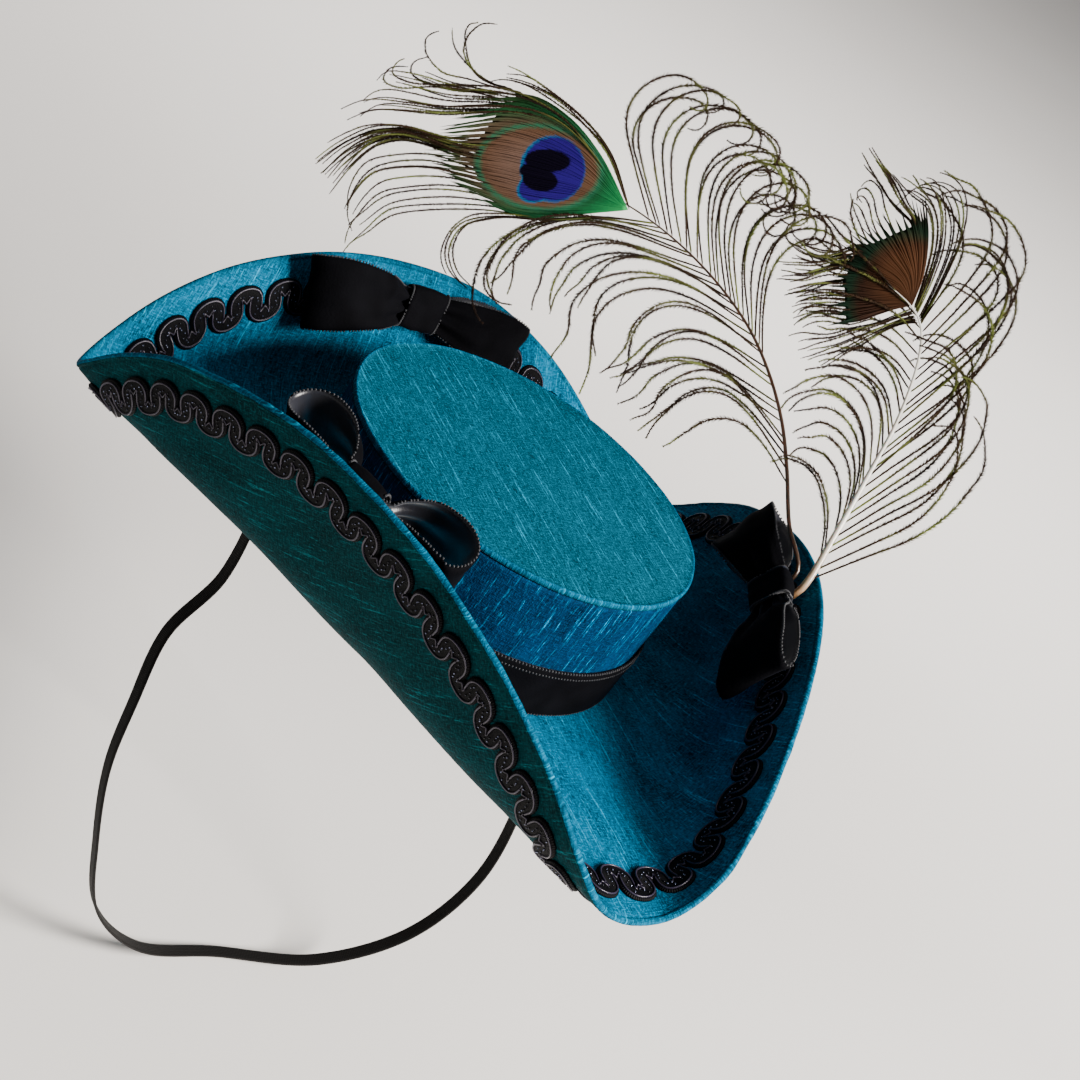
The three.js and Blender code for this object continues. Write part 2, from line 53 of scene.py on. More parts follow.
camera_back = (camera_back - camera_right * camera_back.dot(camera_right)).normalized()
camera_up = camera_back.cross(camera_right)
camera_data = bpy.data.cameras.new("camera")
camera_data.lens = 77.77
camera_data.sensor_width = 36
camera_data.clip_end = 50
camera = bpy.data.objects.new("camera", camera_data)
camera.matrix_world = Matrix((
    (camera_right.x, camera_up.x, camera_back.x, camera_place.x),
    (camera_right.y, camera_up.y, camera_back.y, camera_place.y),
    (camera_right.z, camera_up.z, camera_back.z, camera_place.z),
    (0, 0, 0, 1),
))
bpy.context.scene.collection.objects.link(camera)
bpy.context.scene.camera = camera


# Floor: a wide plain sheet of matt paper below the strap.
# It runs far past the picture's frame on every side.
def colour(hex_code, alpha=1.0):
    """Linear colour from an sRGB hex code."""
    channels = []
    for start in (1, 3, 5):
        value = int(hex_code[start:start + 2], 16) / 255
        channels.append(value / 12.92 if value <= 0.04045 else ((value + 0.055) / 1.055) ** 2.4)
    return (*channels, alpha)


def add_node(tree, kind, inputs=None, **settings):
    """Adds a node with its settings, and gives each named input a value or a socket that feeds it."""
    node = tree.nodes.new(kind)
    for name, value in settings.items():
        setattr(node, name, value)
    for name, value in (inputs or {}).items():
        if isinstance(value, bpy.types.NodeSocket):
            tree.links.new(value, node.inputs[name])
        else:
            node.inputs[name].default_value = value
    return node


def new_material(name, **shader_values):
    """A material and its node tree, with those values on its Principled shader."""
    material = bpy.data.materials.new(name)
    material.use_nodes = True
    shader = material.node_tree.nodes["Principled BSDF"]
    for socket, value in shader_values.items():
        shader.inputs[socket.replace("_", " ")].default_value = value
    return material, material.node_tree


def own_place(tree):
    """A socket with each point's place on its piece, in metres."""
    return add_node(tree, "ShaderNodeTexCoord").outputs["Object"]


def grain(tree, place, scale, detail=2.0, roughness=0.5):
    """A socket with soft noise, mostly near 0.5."""
    return add_node(tree, "ShaderNodeTexNoise", {
        "Vector": place, "Scale": scale, "Detail": detail, "Roughness": roughness,
    }).outputs["Fac"]


def mixed(tree, share, *ends):
    """A socket with a colour between two ends. Each end is a hex code or a socket."""
    first, second = (colour(end) if isinstance(end, str) else end for end in ends)
    return add_node(tree, "ShaderNodeMix", {
        "Factor": share, "A": first, "B": second,
    }, data_type="RGBA").outputs["Result"]


def dress(tree, tone, height=None, strength=0.5, depth=0.3):
    """Gives the shader its colour and, from a height, a bump as deep as depth in mm."""
    shader = tree.nodes["Principled BSDF"]
    tree.links.new(tone, shader.inputs["Base Color"])
    if height is not None:
        bump = add_node(tree, "ShaderNodeBump", {
            "Height": height, "Strength": strength, "Distance": depth * mm,
        })
        tree.links.new(bump.outputs["Normal"], shader.inputs["Normal"])


# Matt paper: an even pale tone with a very slight mottle and no gloss.
floor_radius = 9.0
floor_gap = 2 * mm
paper, tree = new_material("matt_paper", Roughness=0.95)
dress(tree, mixed(tree, grain(tree, own_place(tree), 3.0), "#e9e6e3", "#f1efec"))

floor_mesh = bpy.data.meshes.new("floor")
bm = bmesh.new()
bmesh.ops.create_circle(bm, cap_ends=True, segments=64, radius=floor_radius)
bmesh.ops.translate(bm, verts=bm.verts, vec=(0, 0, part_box("elastic_strap")[0].z - floor_gap))
bm.to_mesh(floor_mesh)
bm.free()
floor_mesh.materials.append(paper)
floor = bpy.data.objects.new("floor", floor_mesh)
bpy.context.scene.collection.objects.link(floor)


# Light: a square soft window to the wearer's left and front, a soft lamp high above, a faint one behind the
# camera, one that washes only the paper behind the hat, and a pale even sky round them.
def add_lamp(name, towards, distance, size, power, tint, facing=None):
    """A square soft lamp in the given direction, which faces the hat or another way."""
    lamp_data = bpy.data.lights.new(name, "AREA")
    lamp_data.size = size
    lamp_data.energy = power
    lamp_data.color = colour(tint)[:3]
    lamp = bpy.data.objects.new(name, lamp_data)
    aim = Vector(towards).normalized()
    back = -Vector(facing) if facing else aim
    turn = back.to_track_quat("Z", "Y").to_matrix().to_4x4()
    lamp.matrix_world = Matrix.Translation(aim * distance) @ turn
    bpy.context.scene.collection.objects.link(lamp)


add_lamp("window", (0.42, -0.72, 0.55), 1.6, 0.6, 90, "#fff9f2")
add_lamp("sky_light", (0.2, 0.2, 1.0), 2.4, 1.4, 9, "#f2f6ff")
add_lamp("fill", (-0.75, -0.6, 0.35), 2.4, 1.6, 1.4, "#f4f6ff")
add_lamp("paper_wash", (0.6, 0.55, 0.9), 1.21, 0.8, 30, "#fffaf5", (1.7, 1.6, -1.1))
world = bpy.data.worlds.new("studio")
bpy.context.scene.world = world
world.use_nodes = True
sky = world.node_tree.nodes["Background"].inputs
sky["Color"].default_value = colour("#e4e4e6")
sky["Strength"].default_value = 0.15


def cloth_place(tree):
    """A socket with each point's place on its piece's flat UV map, in mm."""
    return add_node(tree, "ShaderNodeUVMap", uv_map="cloth").outputs["UV"]


def spread(tree, value, low, high):
    """A socket that goes from 0 to 1 while the value goes from low to high."""
    return add_node(tree, "ShaderNodeMapRange", {
        "Value": value, "From Min": low, "From Max": high,
    }).outputs["Result"]


# Silk: shot dupioni, a plain weave of dark warp and turquoise weft with uneven, slubbed threads.
# Threads are about 0.2 mm, too fine to show, so the weave is drawn at about 0.45 mm. Slubs are just under
# 1 mm wide and 8 to 44 mm long. The sheen is bright on the slubs and dark between them.
def silk(name, ground, thread, slub, patchy=0.3, slub_length=26.0):
    """Shot dupioni in three tones, its slubs along V of the cloth's UV map, which is in millimetres."""
    material, tree = new_material(name, Roughness=0.66, Metallic=0.12, Specular_IOR_Level=0.02)
    cloth = cloth_place(tree)

    def threads(width, length, detail, low, high, lean=0.0):
        """Noise drawn out to threads of that width and length in mm, its middle stretched to full range."""
        turned = add_node(tree, "ShaderNodeMapping", {
            "Vector": cloth, "Scale": (1 / width, 1 / length, 1), "Rotation": (0, 0, lean),
        })
        return spread(tree, grain(tree, turned.outputs["Vector"], 1.0, detail, 0.55), low, high)

    def worked(operation, *values):
        return add_node(tree, "ShaderNodeMath", dict(enumerate(values)), operation=operation).outputs[0]

    warp = threads(0.42, 3.2, 1.0, 0.36, 0.64)
    weft = threads(3.0, 0.45, 1.0, 0.36, 0.64)
    speckle = threads(0.75, 0.95, 1.0, 0.44, 0.63)
    patches = threads(9.0, 34.0, 2.0, 0.3, 0.7)
    woven = worked("MULTIPLY_ADD", warp, 0.55, worked("MULTIPLY", weft, worked("ADD", speckle, 0.2)))
    even = worked("MULTIPLY_ADD", patches, patchy, worked("MULTIPLY", woven, 0.8 - patchy * 0.4))
    long_slubs = threads(0.95, slub_length, 2.0, 0.6, 0.7)
    short_slubs = threads(0.8, 8.0, 2.0, 0.62, 0.74, 0.02)
    broken = threads(0.5, 1.8, 2.0, 0.35, 0.62)
    slubs = worked("MULTIPLY", worked("MAXIMUM", long_slubs, short_slubs), broken)
    shown = mixed(tree, slubs, mixed(tree, even, ground, thread), slub)
    dress(tree, shown, worked("ADD", woven, slubs), 0.5, 0.22)
    return material


upper_silk = silk("shot_silk_upper", "#001722", "#0078a2", "#00acdc", 0.34, 44.0)
# The under cover is the same silk painted much darker, as painted shade under the brim.
under_silk_painted_shade = silk("shot_silk_under_painted_shade", "#001316", "#003d42", "#006b74")
tip_silk = silk("shot_silk_tip", "#0d2934", "#066780", "#00a3cb", 0.2)
side_silk = silk("shot_silk_crown_side", "#010c1c", "#003a62", "#0098cf", 0.45)
# The rolled folds at the brim's rim and the crown tip's edge take a silk with a lighter ground, as a
# painted highlight along the fold.
fold_silk_painted_highlight = silk("shot_silk_fold_painted_highlight", "#002738", "#006a8e", "#00a2ca")


# Brim: one stiffened sheet covered with silk on both faces, flat under the crown and turned up in three
# flaps. The covers meet at the rim in a rolled fold, a little uneven, with a groove below it.
brim_reach = 147.5
flap_height = 61.0
brim_wall = 2.0
fold_reach = 22.0
fold_limit = 0.9
fold_pieces = 24
crown_radius = 63.7
crown_base_share = 0.976
crown_wall = 2.0
opening_radius = crown_radius * crown_base_share - crown_wall

# From the front point to the middle of the rear flap: angle in degrees, then the rim's reach, the rim's
# rise as a share of flap_height, and the crease's reach. Reaches are shares of brim_reach.
half_rim = (
    (-90, 1.0, -0.025, 0.956),
    (-84, 1.001, 0.054, 0.942),
    (-79, 0.98, 0.23, 0.895),
    (-73, 0.919, 0.459, 0.81),
    (-65, 0.843, 0.664, 0.719),
    (-50, 0.755, 0.884, 0.609),
    (-30, 0.716, 0.993, 0.549),
    (-10, 0.739, 0.946, 0.57),
    (3, 0.792, 0.807, 0.627),
    (13, 0.854, 0.623, 0.705),
    (20, 0.904, 0.398, 0.79),
    (25.5, 0.939, 0.18, 0.868),
    (31, 0.949, 0.041, 0.908),
    (36.5, 0.933, 0.107, 0.881),
    (43, 0.898, 0.295, 0.814),
    (52, 0.846, 0.516, 0.719),
    (66, 0.773, 0.741, 0.617),
    (90, 0.708, 0.877, 0.563),
)
other_half = [(180 - angle, *shares) for angle, *shares in reversed(half_rim[1:-1])]
rim_round = [*half_rim, *other_half]
rim_rows = [(angle - 360, *shares) for angle, *shares in rim_round[-1:]] + rim_round
rim_rows += [(angle + 360, *shares) for angle, *shares in rim_round[:2]]


def smooth_value(rows, column, at):
    """A column's value on a smooth curve through the rows. The first row and the last only steer it."""
    i = 1
    while i < len(rows) - 3 and at > rows[i + 1][0]:
        i += 1

    def slope(before, here, after):
        back, ahead = here[0] - before[0], after[0] - here[0]
        rise_back = (here[column] - before[column]) / back
        rise_ahead = (after[column] - here[column]) / ahead
        return (rise_back * ahead + rise_ahead * back) / (back + ahead)

    span = rows[i + 1][0] - rows[i][0]
    t = (at - rows[i][0]) / span
    from_weight = (1 + 2 * t) * (1 - t) ** 2
    slope_in = slope(rows[i - 1], rows[i], rows[i + 1])
    slope_out = slope(rows[i], rows[i + 1], rows[i + 2])
    return (
        from_weight * rows[i][column]
        + (1 - from_weight) * rows[i + 1][column]
        + span * (t * (1 - t) ** 2 * slope_in - t ** 2 * (1 - t) * slope_out)
    )


def lengths_along(course):
    """How far along a course each of its points is."""
    gone = [0.0]
    for before, after in zip(course, course[1:]):
        gone.append(gone[-1] + (after - before).length)
    return gone


def rough(x, y, z):
    """Smooth noise about 0."""
    return noise.noise(Vector((x, y, z)))


def round_axis(turn, radius, height):
    """A point at that angle, radius and height round the crown's axis."""
    return Vector((math.cos(turn) * radius, math.sin(turn) * radius, height))


def at_share(rows, share):
    """The row nearest to a share of the way through."""
    return rows[round(share * (len(rows) - 1))]


def brim_profile(angle):
    """Points every millimetre along the cloth, as radius and height, and the whole length."""
    reach = smooth_value(rim_rows, 1, angle) * brim_reach
    rise = smooth_value(rim_rows, 2, angle) * flap_height
    crease = smooth_value(rim_rows, 3, angle) * brim_reach
    rim = Vector((reach, rise))
    corner = Vector((crease, -brim_wall / 2))
    inner = Vector((opening_radius, -brim_wall / 2))
    fold_in = corner.lerp(inner, min(fold_reach / (corner - inner).length, fold_limit))
    fold_out = corner.lerp(rim, min(fold_reach / (corner - rim).length, fold_limit))
    course = [rim]
    for i in range(fold_pieces + 1):
        t = i / fold_pieces
        course.append(fold_out * (1 - t) ** 2 + corner * 2 * t * (1 - t) + fold_in * t ** 2)
    course.append(inner)
    gone = lengths_along(course)
    points, piece = [], 0
    for drop in range(int(gone[-1]) + 1):
        while gone[piece + 1] < drop:
            piece += 1
        share = (drop - gone[piece]) / (gone[piece + 1] - gone[piece])
        points.append(course[piece].lerp(course[piece + 1], share))
    return points, gone[-1]


# The brim's middle surface as a net of points, half a degree apart round it and 1 mm apart down it.
# Each profile runs on a few points past its two ends, so that every edge has a direction.
net_steps = 720
net_margin = 3
net_points, net_lengths = [], []
for step in range(net_steps):
    angle = -90 + 360 * step / net_steps
    points, length = brim_profile(angle)
    outwards = points[0] - points[1]
    inwards = (points[-1] - points[-2]).normalized()
    points = [points[0] + outwards * i for i in range(net_margin, 0, -1)] + points
    points += [points[-1] + inwards * (i + 1) for i in range(net_margin)]
    net_points.append([round_axis(math.radians(angle), p.x, p.y) for p in points])
    net_lengths.append(length)
net_normals = []
for step in range(net_steps):
    column, before, after = net_points[step], net_points[step - 1], net_points[(step + 1) % net_steps]
    normals = []
    for i in range(len(column)):
        last = min(len(before), len(after), len(column)) - 1
        down = column[min(i + 1, len(column) - 1)] - column[max(i - 1, 0)]
        across = after[min(i, last)] - before[min(i, last)]
        normals.append(across.cross(down).normalized())
    net_normals.append(normals)


def brim_length(angle):
    """Length of the cloth from the rim to the crown's opening at an angle."""
    at = ((angle + 90) % 360) / 360 * net_steps
    step = int(at)
    return net_lengths[step] + (net_lengths[(step + 1) % net_steps] - net_lengths[step]) * (at - step)


def on_brim(angle, drop, lift):
    """A point drop mm in from the rim and lift mm above the middle surface, in metres."""
    at = ((angle + 90) % 360) / 360 * net_steps
    step = int(at)
    beside = (step + 1) % net_steps
    row = max(drop + net_margin, 0)
    row = min(row, min(len(net_points[step]), len(net_points[beside])) - 1.001)
    i, down, across = int(row), row - int(row), at - step
    near = net_points[step][i].lerp(net_points[step][i + 1], down)
    far = net_points[beside][i].lerp(net_points[beside][i + 1], down)
    near_normal = net_normals[step][i].lerp(net_normals[step][i + 1], down)
    far_normal = net_normals[beside][i].lerp(net_normals[beside][i + 1], down)
    return (near.lerp(far, across) + near_normal.lerp(far_normal, across).normalized() * lift) * mm


def place_mesh(name, mesh, slot, *materials):
    """Puts a mesh in the scene as a smooth piece with its finish, on the hat's one body."""
    mesh.shade_smooth()
    for material in materials:
        mesh.materials.append(material)
    piece = bpy.data.objects.new(name, mesh)
    bpy.context.scene.collection.objects.link(piece)
    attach(piece, "root")
    return piece


def add_piece(name, bm, slot, *materials, weld=0.0):
    """Makes a mesh piece of a bmesh, once its points nearer than weld mm are joined."""
    if weld:
        bmesh.ops.remove_doubles(bm, verts=bm.verts, dist=weld * mm)
    bmesh.ops.recalc_face_normals(bm, faces=bm.faces)
    mesh = bpy.data.meshes.new(name)
    bm.to_mesh(mesh)
    bm.free()
    return place_mesh(name, mesh, slot, *materials)


def laid_grid(bm, columns, rows, place, cloth, finish=None):
    """A grid laid out by place(u, v), from 0 to 1 each way. cloth(u, v) gives its flat UV place in mm, and
    finish(u, v) the number of a face's material."""
    made = bmesh.ops.create_grid(bm, x_segments=columns, y_segments=rows, size=0.5)
    layer = bm.loops.layers.uv.get("cloth") or bm.loops.layers.uv.new("cloth")
    shares = {vert: (vert.co.x + 0.5, vert.co.y + 0.5) for vert in made["verts"]}
    faces = {face for vert in made["verts"] for face in vert.link_faces}
    for face in faces:
        for loop in face.loops:
            loop[layer].uv = cloth(*shares[loop.vert])
        if finish:
            middle = [sum(shares[vert][i] for vert in face.verts) / len(face.verts) for i in (0, 1)]
            face.material_index = finish(*middle)
    for vert, (u, v) in shares.items():
        vert.co = place(u, v)


# The rolled fold at the rim: drop below the rim and lift off the middle surface, in mm.
rim_fold = (
    (-0.7, 0.0), (-0.6, 0.5), (-0.3, 0.85), (0.15, 1.08), (0.6, 1.16),
    (1.0, 1.05), (1.35, 0.78), (1.7, 0.98), (2.6, 1.04), (4.0, 1.02),
)
fold_uneven = 0.24
face_uneven = 0.45
face_steps = 30
brim_stations = len(rim_fold) + face_steps


def brim_station(angle, index):
    """Drop and lift of one station on the upper face, from the rim's top to the crown's opening."""
    if index < len(rim_fold):
        drop, lift = rim_fold[index]
        uneven = rough(angle * 0.35, drop, 4.0) + rough(angle * 1.4, drop, 9.0)
        return drop, lift + (fold_uneven * uneven if index > 1 else 0.0)
    start = rim_fold[-1][0]
    share = (index - len(rim_fold) + 1) / face_steps
    return start + (brim_length(angle) - start) * share, brim_wall / 2


def brim_place(u, v):
    """The whole skin: v runs from the opening up the inner face, over the rim and back underneath."""
    angle = -90 + 360 * u
    station = round(v * (2 * brim_stations - 2))
    upper = station < brim_stations
    drop, lift = brim_station(angle, abs(brim_stations - 1 - station))
    turn = math.radians(angle)
    dent = rough(math.cos(turn) * 3, math.sin(turn) * 3, drop / 24)
    from_rim = min(1.0, max(0.0, (drop - 3) / 10))
    from_opening = min(1.0, max(0.0, (brim_length(angle) - drop) / 12))
    on_face = face_uneven * dent * from_rim * from_opening
    return on_brim(angle, drop, lift + on_face if upper else -(lift - on_face))


def brim_cloth(u, v):
    """The cloth laid flat again, in mm, so that its threads run from the front to the back of the hat."""
    angle = -90 + 360 * u
    station = round(v * (2 * brim_stations - 2))
    drop, lift = brim_station(angle, abs(brim_stations - 1 - station))
    radius = opening_radius + brim_length(angle) - drop
    return round_axis(math.radians(angle), radius, 0).xy


brim_mesh = bmesh.new()
brim_columns = 320
brim_rows = 2 * brim_stations - 2
fold_start, fold_end = (brim_stations - 7) / brim_rows, (brim_stations + 2) / brim_rows


def brim_cover(u, v):
    """The upper cover, the under cover with its painted shade, or the fold at the rim between them with its
    painted highlight.
    """
    if v < fold_start:
        return 0
    return 2 if v < fold_end else 1


laid_grid(brim_mesh, brim_columns, brim_rows, brim_place, brim_cloth, brim_cover)
brim = add_piece("brim_silk", brim_mesh, "teal_silk", upper_silk, under_silk_painted_shade, fold_silk_painted_highlight, weld=0.01)
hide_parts("brim")


# Crown: a stiffened ring covered in silk with its slubs upright, and a round top cut on the straight
# grain, whose edge is turned down over the ring in a narrow ridge.
crown_height = 48.9
tip_thickness = 2.2
gap = 0.3
crown_columns = 192


def crown_radius_at(height):
    return crown_radius * (crown_base_share + (1 - crown_base_share) * height / crown_height)


def turned_piece(name, outline, slot, materials, cloth, uneven, steps, edge=None):
    """A ring or disc turned round the crown's axis from a closed outline of (radius, height) in mm. The
    second material goes outside the radius and above the height that edge gives."""
    course = []
    for (r0, h0), (r1, h1) in zip(outline, outline[1:]):
        pieces = max(1, round(math.hypot(r1 - r0, h1 - h0) / steps))
        course += [(r0 + (r1 - r0) * i / pieces, h0 + (h1 - h0) * i / pieces) for i in range(pieces)]
    course.append(outline[-1])

    def place(u, v):
        radius, height = at_share(course, v)
        turn = 2 * math.pi * u
        spot = round_axis(turn, radius, height)
        if radius > 0.01:
            swell = rough(spot.x / 17, spot.y / 17, spot.z / 17) * uneven
            swell += rough(spot.x / 5, spot.y / 5, spot.z / 9) * uneven * 0.35
            spot += round_axis(turn, 1.0, 0.6) * swell * min(1.0, radius / 10)
        return spot * mm

    def flat(u, v):
        radius, height = at_share(course, v)
        turn = 2 * math.pi * u
        if cloth == "disc":
            return round_axis(turn, radius, 0).xy
        return turn * crown_radius, height + radius - crown_radius

    def finish(u, v):
        radius, height = course[int(v * (len(course) - 1))]
        return 1 if edge and edge[0] < radius and height > edge[1] else 0

    ring = bmesh.new()
    laid_grid(ring, crown_columns, len(course) - 1, place, flat, finish)
    return add_piece(name, ring, slot, *materials, weld=0.01)


side_top = crown_height - tip_thickness - gap
crown_side = turned_piece("crown_side_silk", (
    (crown_radius_at(gap), gap),
    (crown_radius_at(side_top), side_top),
    (crown_radius_at(side_top) - crown_wall, side_top),
    (crown_radius_at(gap) - crown_wall, gap),
    (crown_radius_at(gap), gap),
), "crown_silk", (side_silk,), "wall", 0.22, 1.6)
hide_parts("crown_side")

tip_bottom = crown_height - tip_thickness
# Its turned-down edge takes the fold silk, painted lighter as the highlight along the ridge.
crown_tip = turned_piece("crown_tip_silk", (
    (0.0, tip_bottom),
    (crown_radius - 0.4, tip_bottom),
    (crown_radius + 0.15, tip_bottom + 0.3),
    (crown_radius + 0.25, tip_bottom + 1.1),
    (crown_radius + 0.15, crown_height - 0.5),
    (crown_radius - 0.05, crown_height - 0.15),
    (crown_radius - 0.4, crown_height + 0.05),
    (crown_radius - 0.8, crown_height - 0.2),
    (crown_radius - 2.4, crown_height - 0.25),
    (crown_radius - 14.0, crown_height + 0.1),
    (0.0, crown_height + 0.25),
), "teal_silk", (tip_silk, fold_silk_painted_highlight), "disc", 0.16, 1.3, (crown_radius - 0.6, tip_bottom + 1.0))
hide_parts("crown_tip")


# Velvet: a short dense pile on a black ribbon, which swallows light and shows a soft edge glow where the
# pile is seen from its side. The ribbon's back is plain black satin.
velvet, tree = new_material(
    "black_velvet", Roughness=0.85, Sheen_Weight=0.13, Sheen_Roughness=0.25,
    Sheen_Tint=colour("#62708e"), Specular_IOR_Level=0.04,
)
pile = grain(tree, own_place(tree), 1 / (0.9 * mm))
crush = grain(tree, own_place(tree), 1 / (9.0 * mm), 1.0)
dress(tree, mixed(tree, crush, "#010102", "#0c0c10"), pile, 0.5, 0.3)

satin, tree = new_material("black_satin_back", Roughness=0.34, Sheen_Weight=0.2, Specular_IOR_Level=0.6)
turned = add_node(tree, "ShaderNodeMapping", {"Vector": cloth_place(tree), "Scale": (1 / 0.5, 1 / 9.0, 1)})
floats = grain(tree, turned.outputs["Vector"], 1.0)
dress(tree, mixed(tree, floats, "#08090e", "#1b1d29"), floats, 0.3, 0.1)

# Picot: the ribbon's edge, a row of tiny knots of thread with a soft shine.
picot, tree = new_material("black_picot_thread", Roughness=0.5, Specular_IOR_Level=0.35, Sheen_Weight=0.25)
dress(tree, mixed(tree, grain(tree, own_place(tree), 1 / (0.8 * mm)), "#08080c", "#22242c"))


# Velvet band: ribbon laid round the crown's foot, its picot edges standing a little proud.
band_height = 19.0
band_thickness = 1.2
picot_pitch = 1.25
picot_radius = 0.42


def add_beads(bm, places, radius):
    """Small round beads at the given places, joined into the piece's mesh."""
    for spot in places:
        bmesh.ops.create_icosphere(
            bm, subdivisions=1, radius=radius * mm, matrix=Matrix.Translation(spot),
        )


def band_radius(height):
    return crown_radius_at(height) + gap


band_top = gap + band_height
band_outline = (
    (band_radius(gap), gap),
    (band_radius(gap) + band_thickness * 0.8, gap + 0.1),
    (band_radius(gap) + band_thickness, gap + 0.9),
    (band_radius(10) + band_thickness * 0.9, gap + 10),
    (band_radius(band_top) + band_thickness * 1.05, band_top - 0.9),
    (band_radius(band_top) + band_thickness * 0.8, band_top - 0.1),
    (band_radius(band_top), band_top),
    (band_radius(gap), gap),
)
band = turned_piece("crown_band_velvet", band_outline, "black_velvet", (velvet,), "wall", 0.18, 1.5)
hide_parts("crown_band")

band_picots = bmesh.new()
for height, proud in ((band_top - 0.2, 0.85), (band_top - 2.3, 1.05), (gap + 0.35, 0.85)):
    count = round(2 * math.pi * band_radius(height) / picot_pitch)
    reach = band_radius(height) + proud
    edge = [round_axis(2 * math.pi * i / count, reach, height) * mm for i in range(count)]
    add_beads(band_picots, edge, picot_radius)
add_piece("crown_band_picots", band_picots, "black_velvet", picot)


# Gimp braid: a thick wavy tape of black gimp, laid in round scrolls along both faces of the brim. Two
# fine satin cords follow it and kink like a w inside each scroll, and glass seeds glint between them.
braid_width = 14.0
braid_inset = 7.0
braid_thickness = 1.8
scroll_pitch = 14.5
scroll_height = 3.8
scroll_swing = 1.35
tape_half = 3.2
cord_offset = 2.2
cord_radius = 0.3
cord_sides = 5
seed_radius = 0.3
trim_lift = 0.12


def bands(tree, direction, scale, distortion=0.0, detail=2.0):
    """A socket with soft bands across the cloth's flat UV map."""
    return add_node(tree, "ShaderNodeTexWave", {
        "Vector": cloth_place(tree), "Scale": scale, "Distortion": distortion, "Detail": detail,
    }, wave_type="BANDS", bands_direction=direction).outputs["Fac"]


gimp, tree = new_material("black_gimp", Roughness=0.6, Specular_IOR_Level=0.08)
wound = bands(tree, "X", 0.9, 1.5, 1.0)
dress(tree, mixed(tree, wound, "#020203", "#090a0e"), wound, 0.6, 0.25)

satin_cord, tree = new_material(
    "black_satin_cord", Roughness=0.32, Specular_IOR_Level=0.45,
    Sheen_Weight=0.06, Sheen_Tint=colour("#8b86a0"),
)
dress(tree, mixed(tree, bands(tree, "DIAGONAL", 1.6, 0.4), "#100d18", "#393247"))

# Cut glass seeds: dark blue-black, with pale patches painted on as glints, and a bright hard glint from
# their gloss.
seed_glass, tree = new_material("cut_glass_seed", Metallic=0.6, Roughness=0.22, Specular_IOR_Level=0.9)
facet_glints = spread(tree, grain(tree, own_place(tree), 1 / (1.1 * mm)), 0.45, 0.6)
dress(tree, mixed(tree, facet_glints, "#0f111c", "#7c83a0"))


# The braid's middle line, in mm along it: how far round the brim each length has come.
braid_angles = [-90.0]
braid_gone = [0.0]
for step in range(net_steps):
    here = on_brim(braid_angles[-1], braid_inset + braid_width / 2, 0)
    braid_angles.append(-90 + 360 * (step + 1) / net_steps)
    there = on_brim(braid_angles[-1], braid_inset + braid_width / 2, 0)
    braid_gone.append(braid_gone[-1] + (there - here).length / mm)
braid_length = braid_gone[-1]
scrolls = round(braid_length / scroll_pitch)


def braid_angle(along):
    """The angle on the brim at a length along the braid's middle line."""
    along %= braid_length
    low = int(along / braid_length * net_steps)
    while low > 0 and braid_gone[low] > along:
        low -= 1
    while low < net_steps - 1 and braid_gone[low + 1] < along:
        low += 1
    share = (along - braid_gone[low]) / (braid_gone[low + 1] - braid_gone[low])
    return braid_angles[low] + (braid_angles[low + 1] - braid_angles[low]) * share


def scroll(turn):
    """A point and its left-hand normal on the tape's wave, in mm along and across the braid."""
    pitch = braid_length / scrolls
    along = pitch * turn / (2 * math.pi) + scroll_swing * math.sin(2 * turn)
    across = scroll_height * math.cos(turn)
    run = pitch / (2 * math.pi) + 2 * scroll_swing * math.cos(2 * turn)
    rise = -scroll_height * math.sin(turn)
    size = math.hypot(run, rise)
    return along, across, -rise / size, run / size


def on_braid(side, along, across, lift):
    """A point of the braid, with lift from its seat on the cloth, on the inner or the under face."""
    seat = brim_wall / 2 + gap + lift
    return on_brim(braid_angle(along), braid_inset + braid_width / 2 + across, side * seat)


def kinked(turn, edge):
    """How far a satin cord runs from the tape's middle line: even outside a bend, a w inside it."""
    inner = math.pi if edge > 0 else 0.0
    off = (turn - inner + math.pi) % (2 * math.pi) - math.pi
    dip = math.exp(-((off - 0.42) / 0.19) ** 2) + math.exp(-((off + 0.42) / 0.19) ** 2)
    peak = math.exp(-(off / 0.16) ** 2)
    return cord_offset * (1 - 0.72 * dip + 0.25 * peak)


tape_section = (
    (-1.0, 0.0), (-1.0, 0.35), (-0.86, 0.75), (-0.55, 0.92), (0.0, 1.0),
    (0.55, 0.92), (0.86, 0.75), (1.0, 0.35), (1.0, 0.0),
)
tape_thickness = 1.15
tape_steps = 26
cord_steps = 34
seeds_in_scroll = 17
wind_pitch = 1.6


def off_scroll(side, turn, off, lift):
    """A point off mm to the left of the tape's middle line, on the braid of one face of the brim."""
    along, across, normal_along, normal_across = scroll(turn)
    return on_braid(side, along + normal_along * off, across + normal_across * off, lift)


def tape_place(side):
    def place(u, v):
        share, height = tape_section[round(v * len(tape_section)) % len(tape_section)]
        return off_scroll(side, 2 * math.pi * scrolls * u, tape_half * share, height * tape_thickness)
    return place


def cord_place(side, edge):
    def place(u, v):
        turn = 2 * math.pi * scrolls * u
        roll = 2 * math.pi * v
        off = edge * kinked(turn, edge) + math.cos(roll) * cord_radius
        lift = tape_thickness * 0.92 + trim_lift + math.sin(roll) * cord_radius
        return off_scroll(side, turn, off, lift)
    return place


def seeds_on(side):
    """Places of the seeds, scattered along the middle of the tape."""
    scatter = random.Random(11 if side > 0 else 12)
    places = []
    for i in range(scrolls * seeds_in_scroll):
        turn = 2 * math.pi * (i + scatter.uniform(-0.3, 0.3)) / seeds_in_scroll
        places.append(off_scroll(side, turn, scatter.uniform(-0.95, 0.95), tape_thickness + trim_lift))
    return places


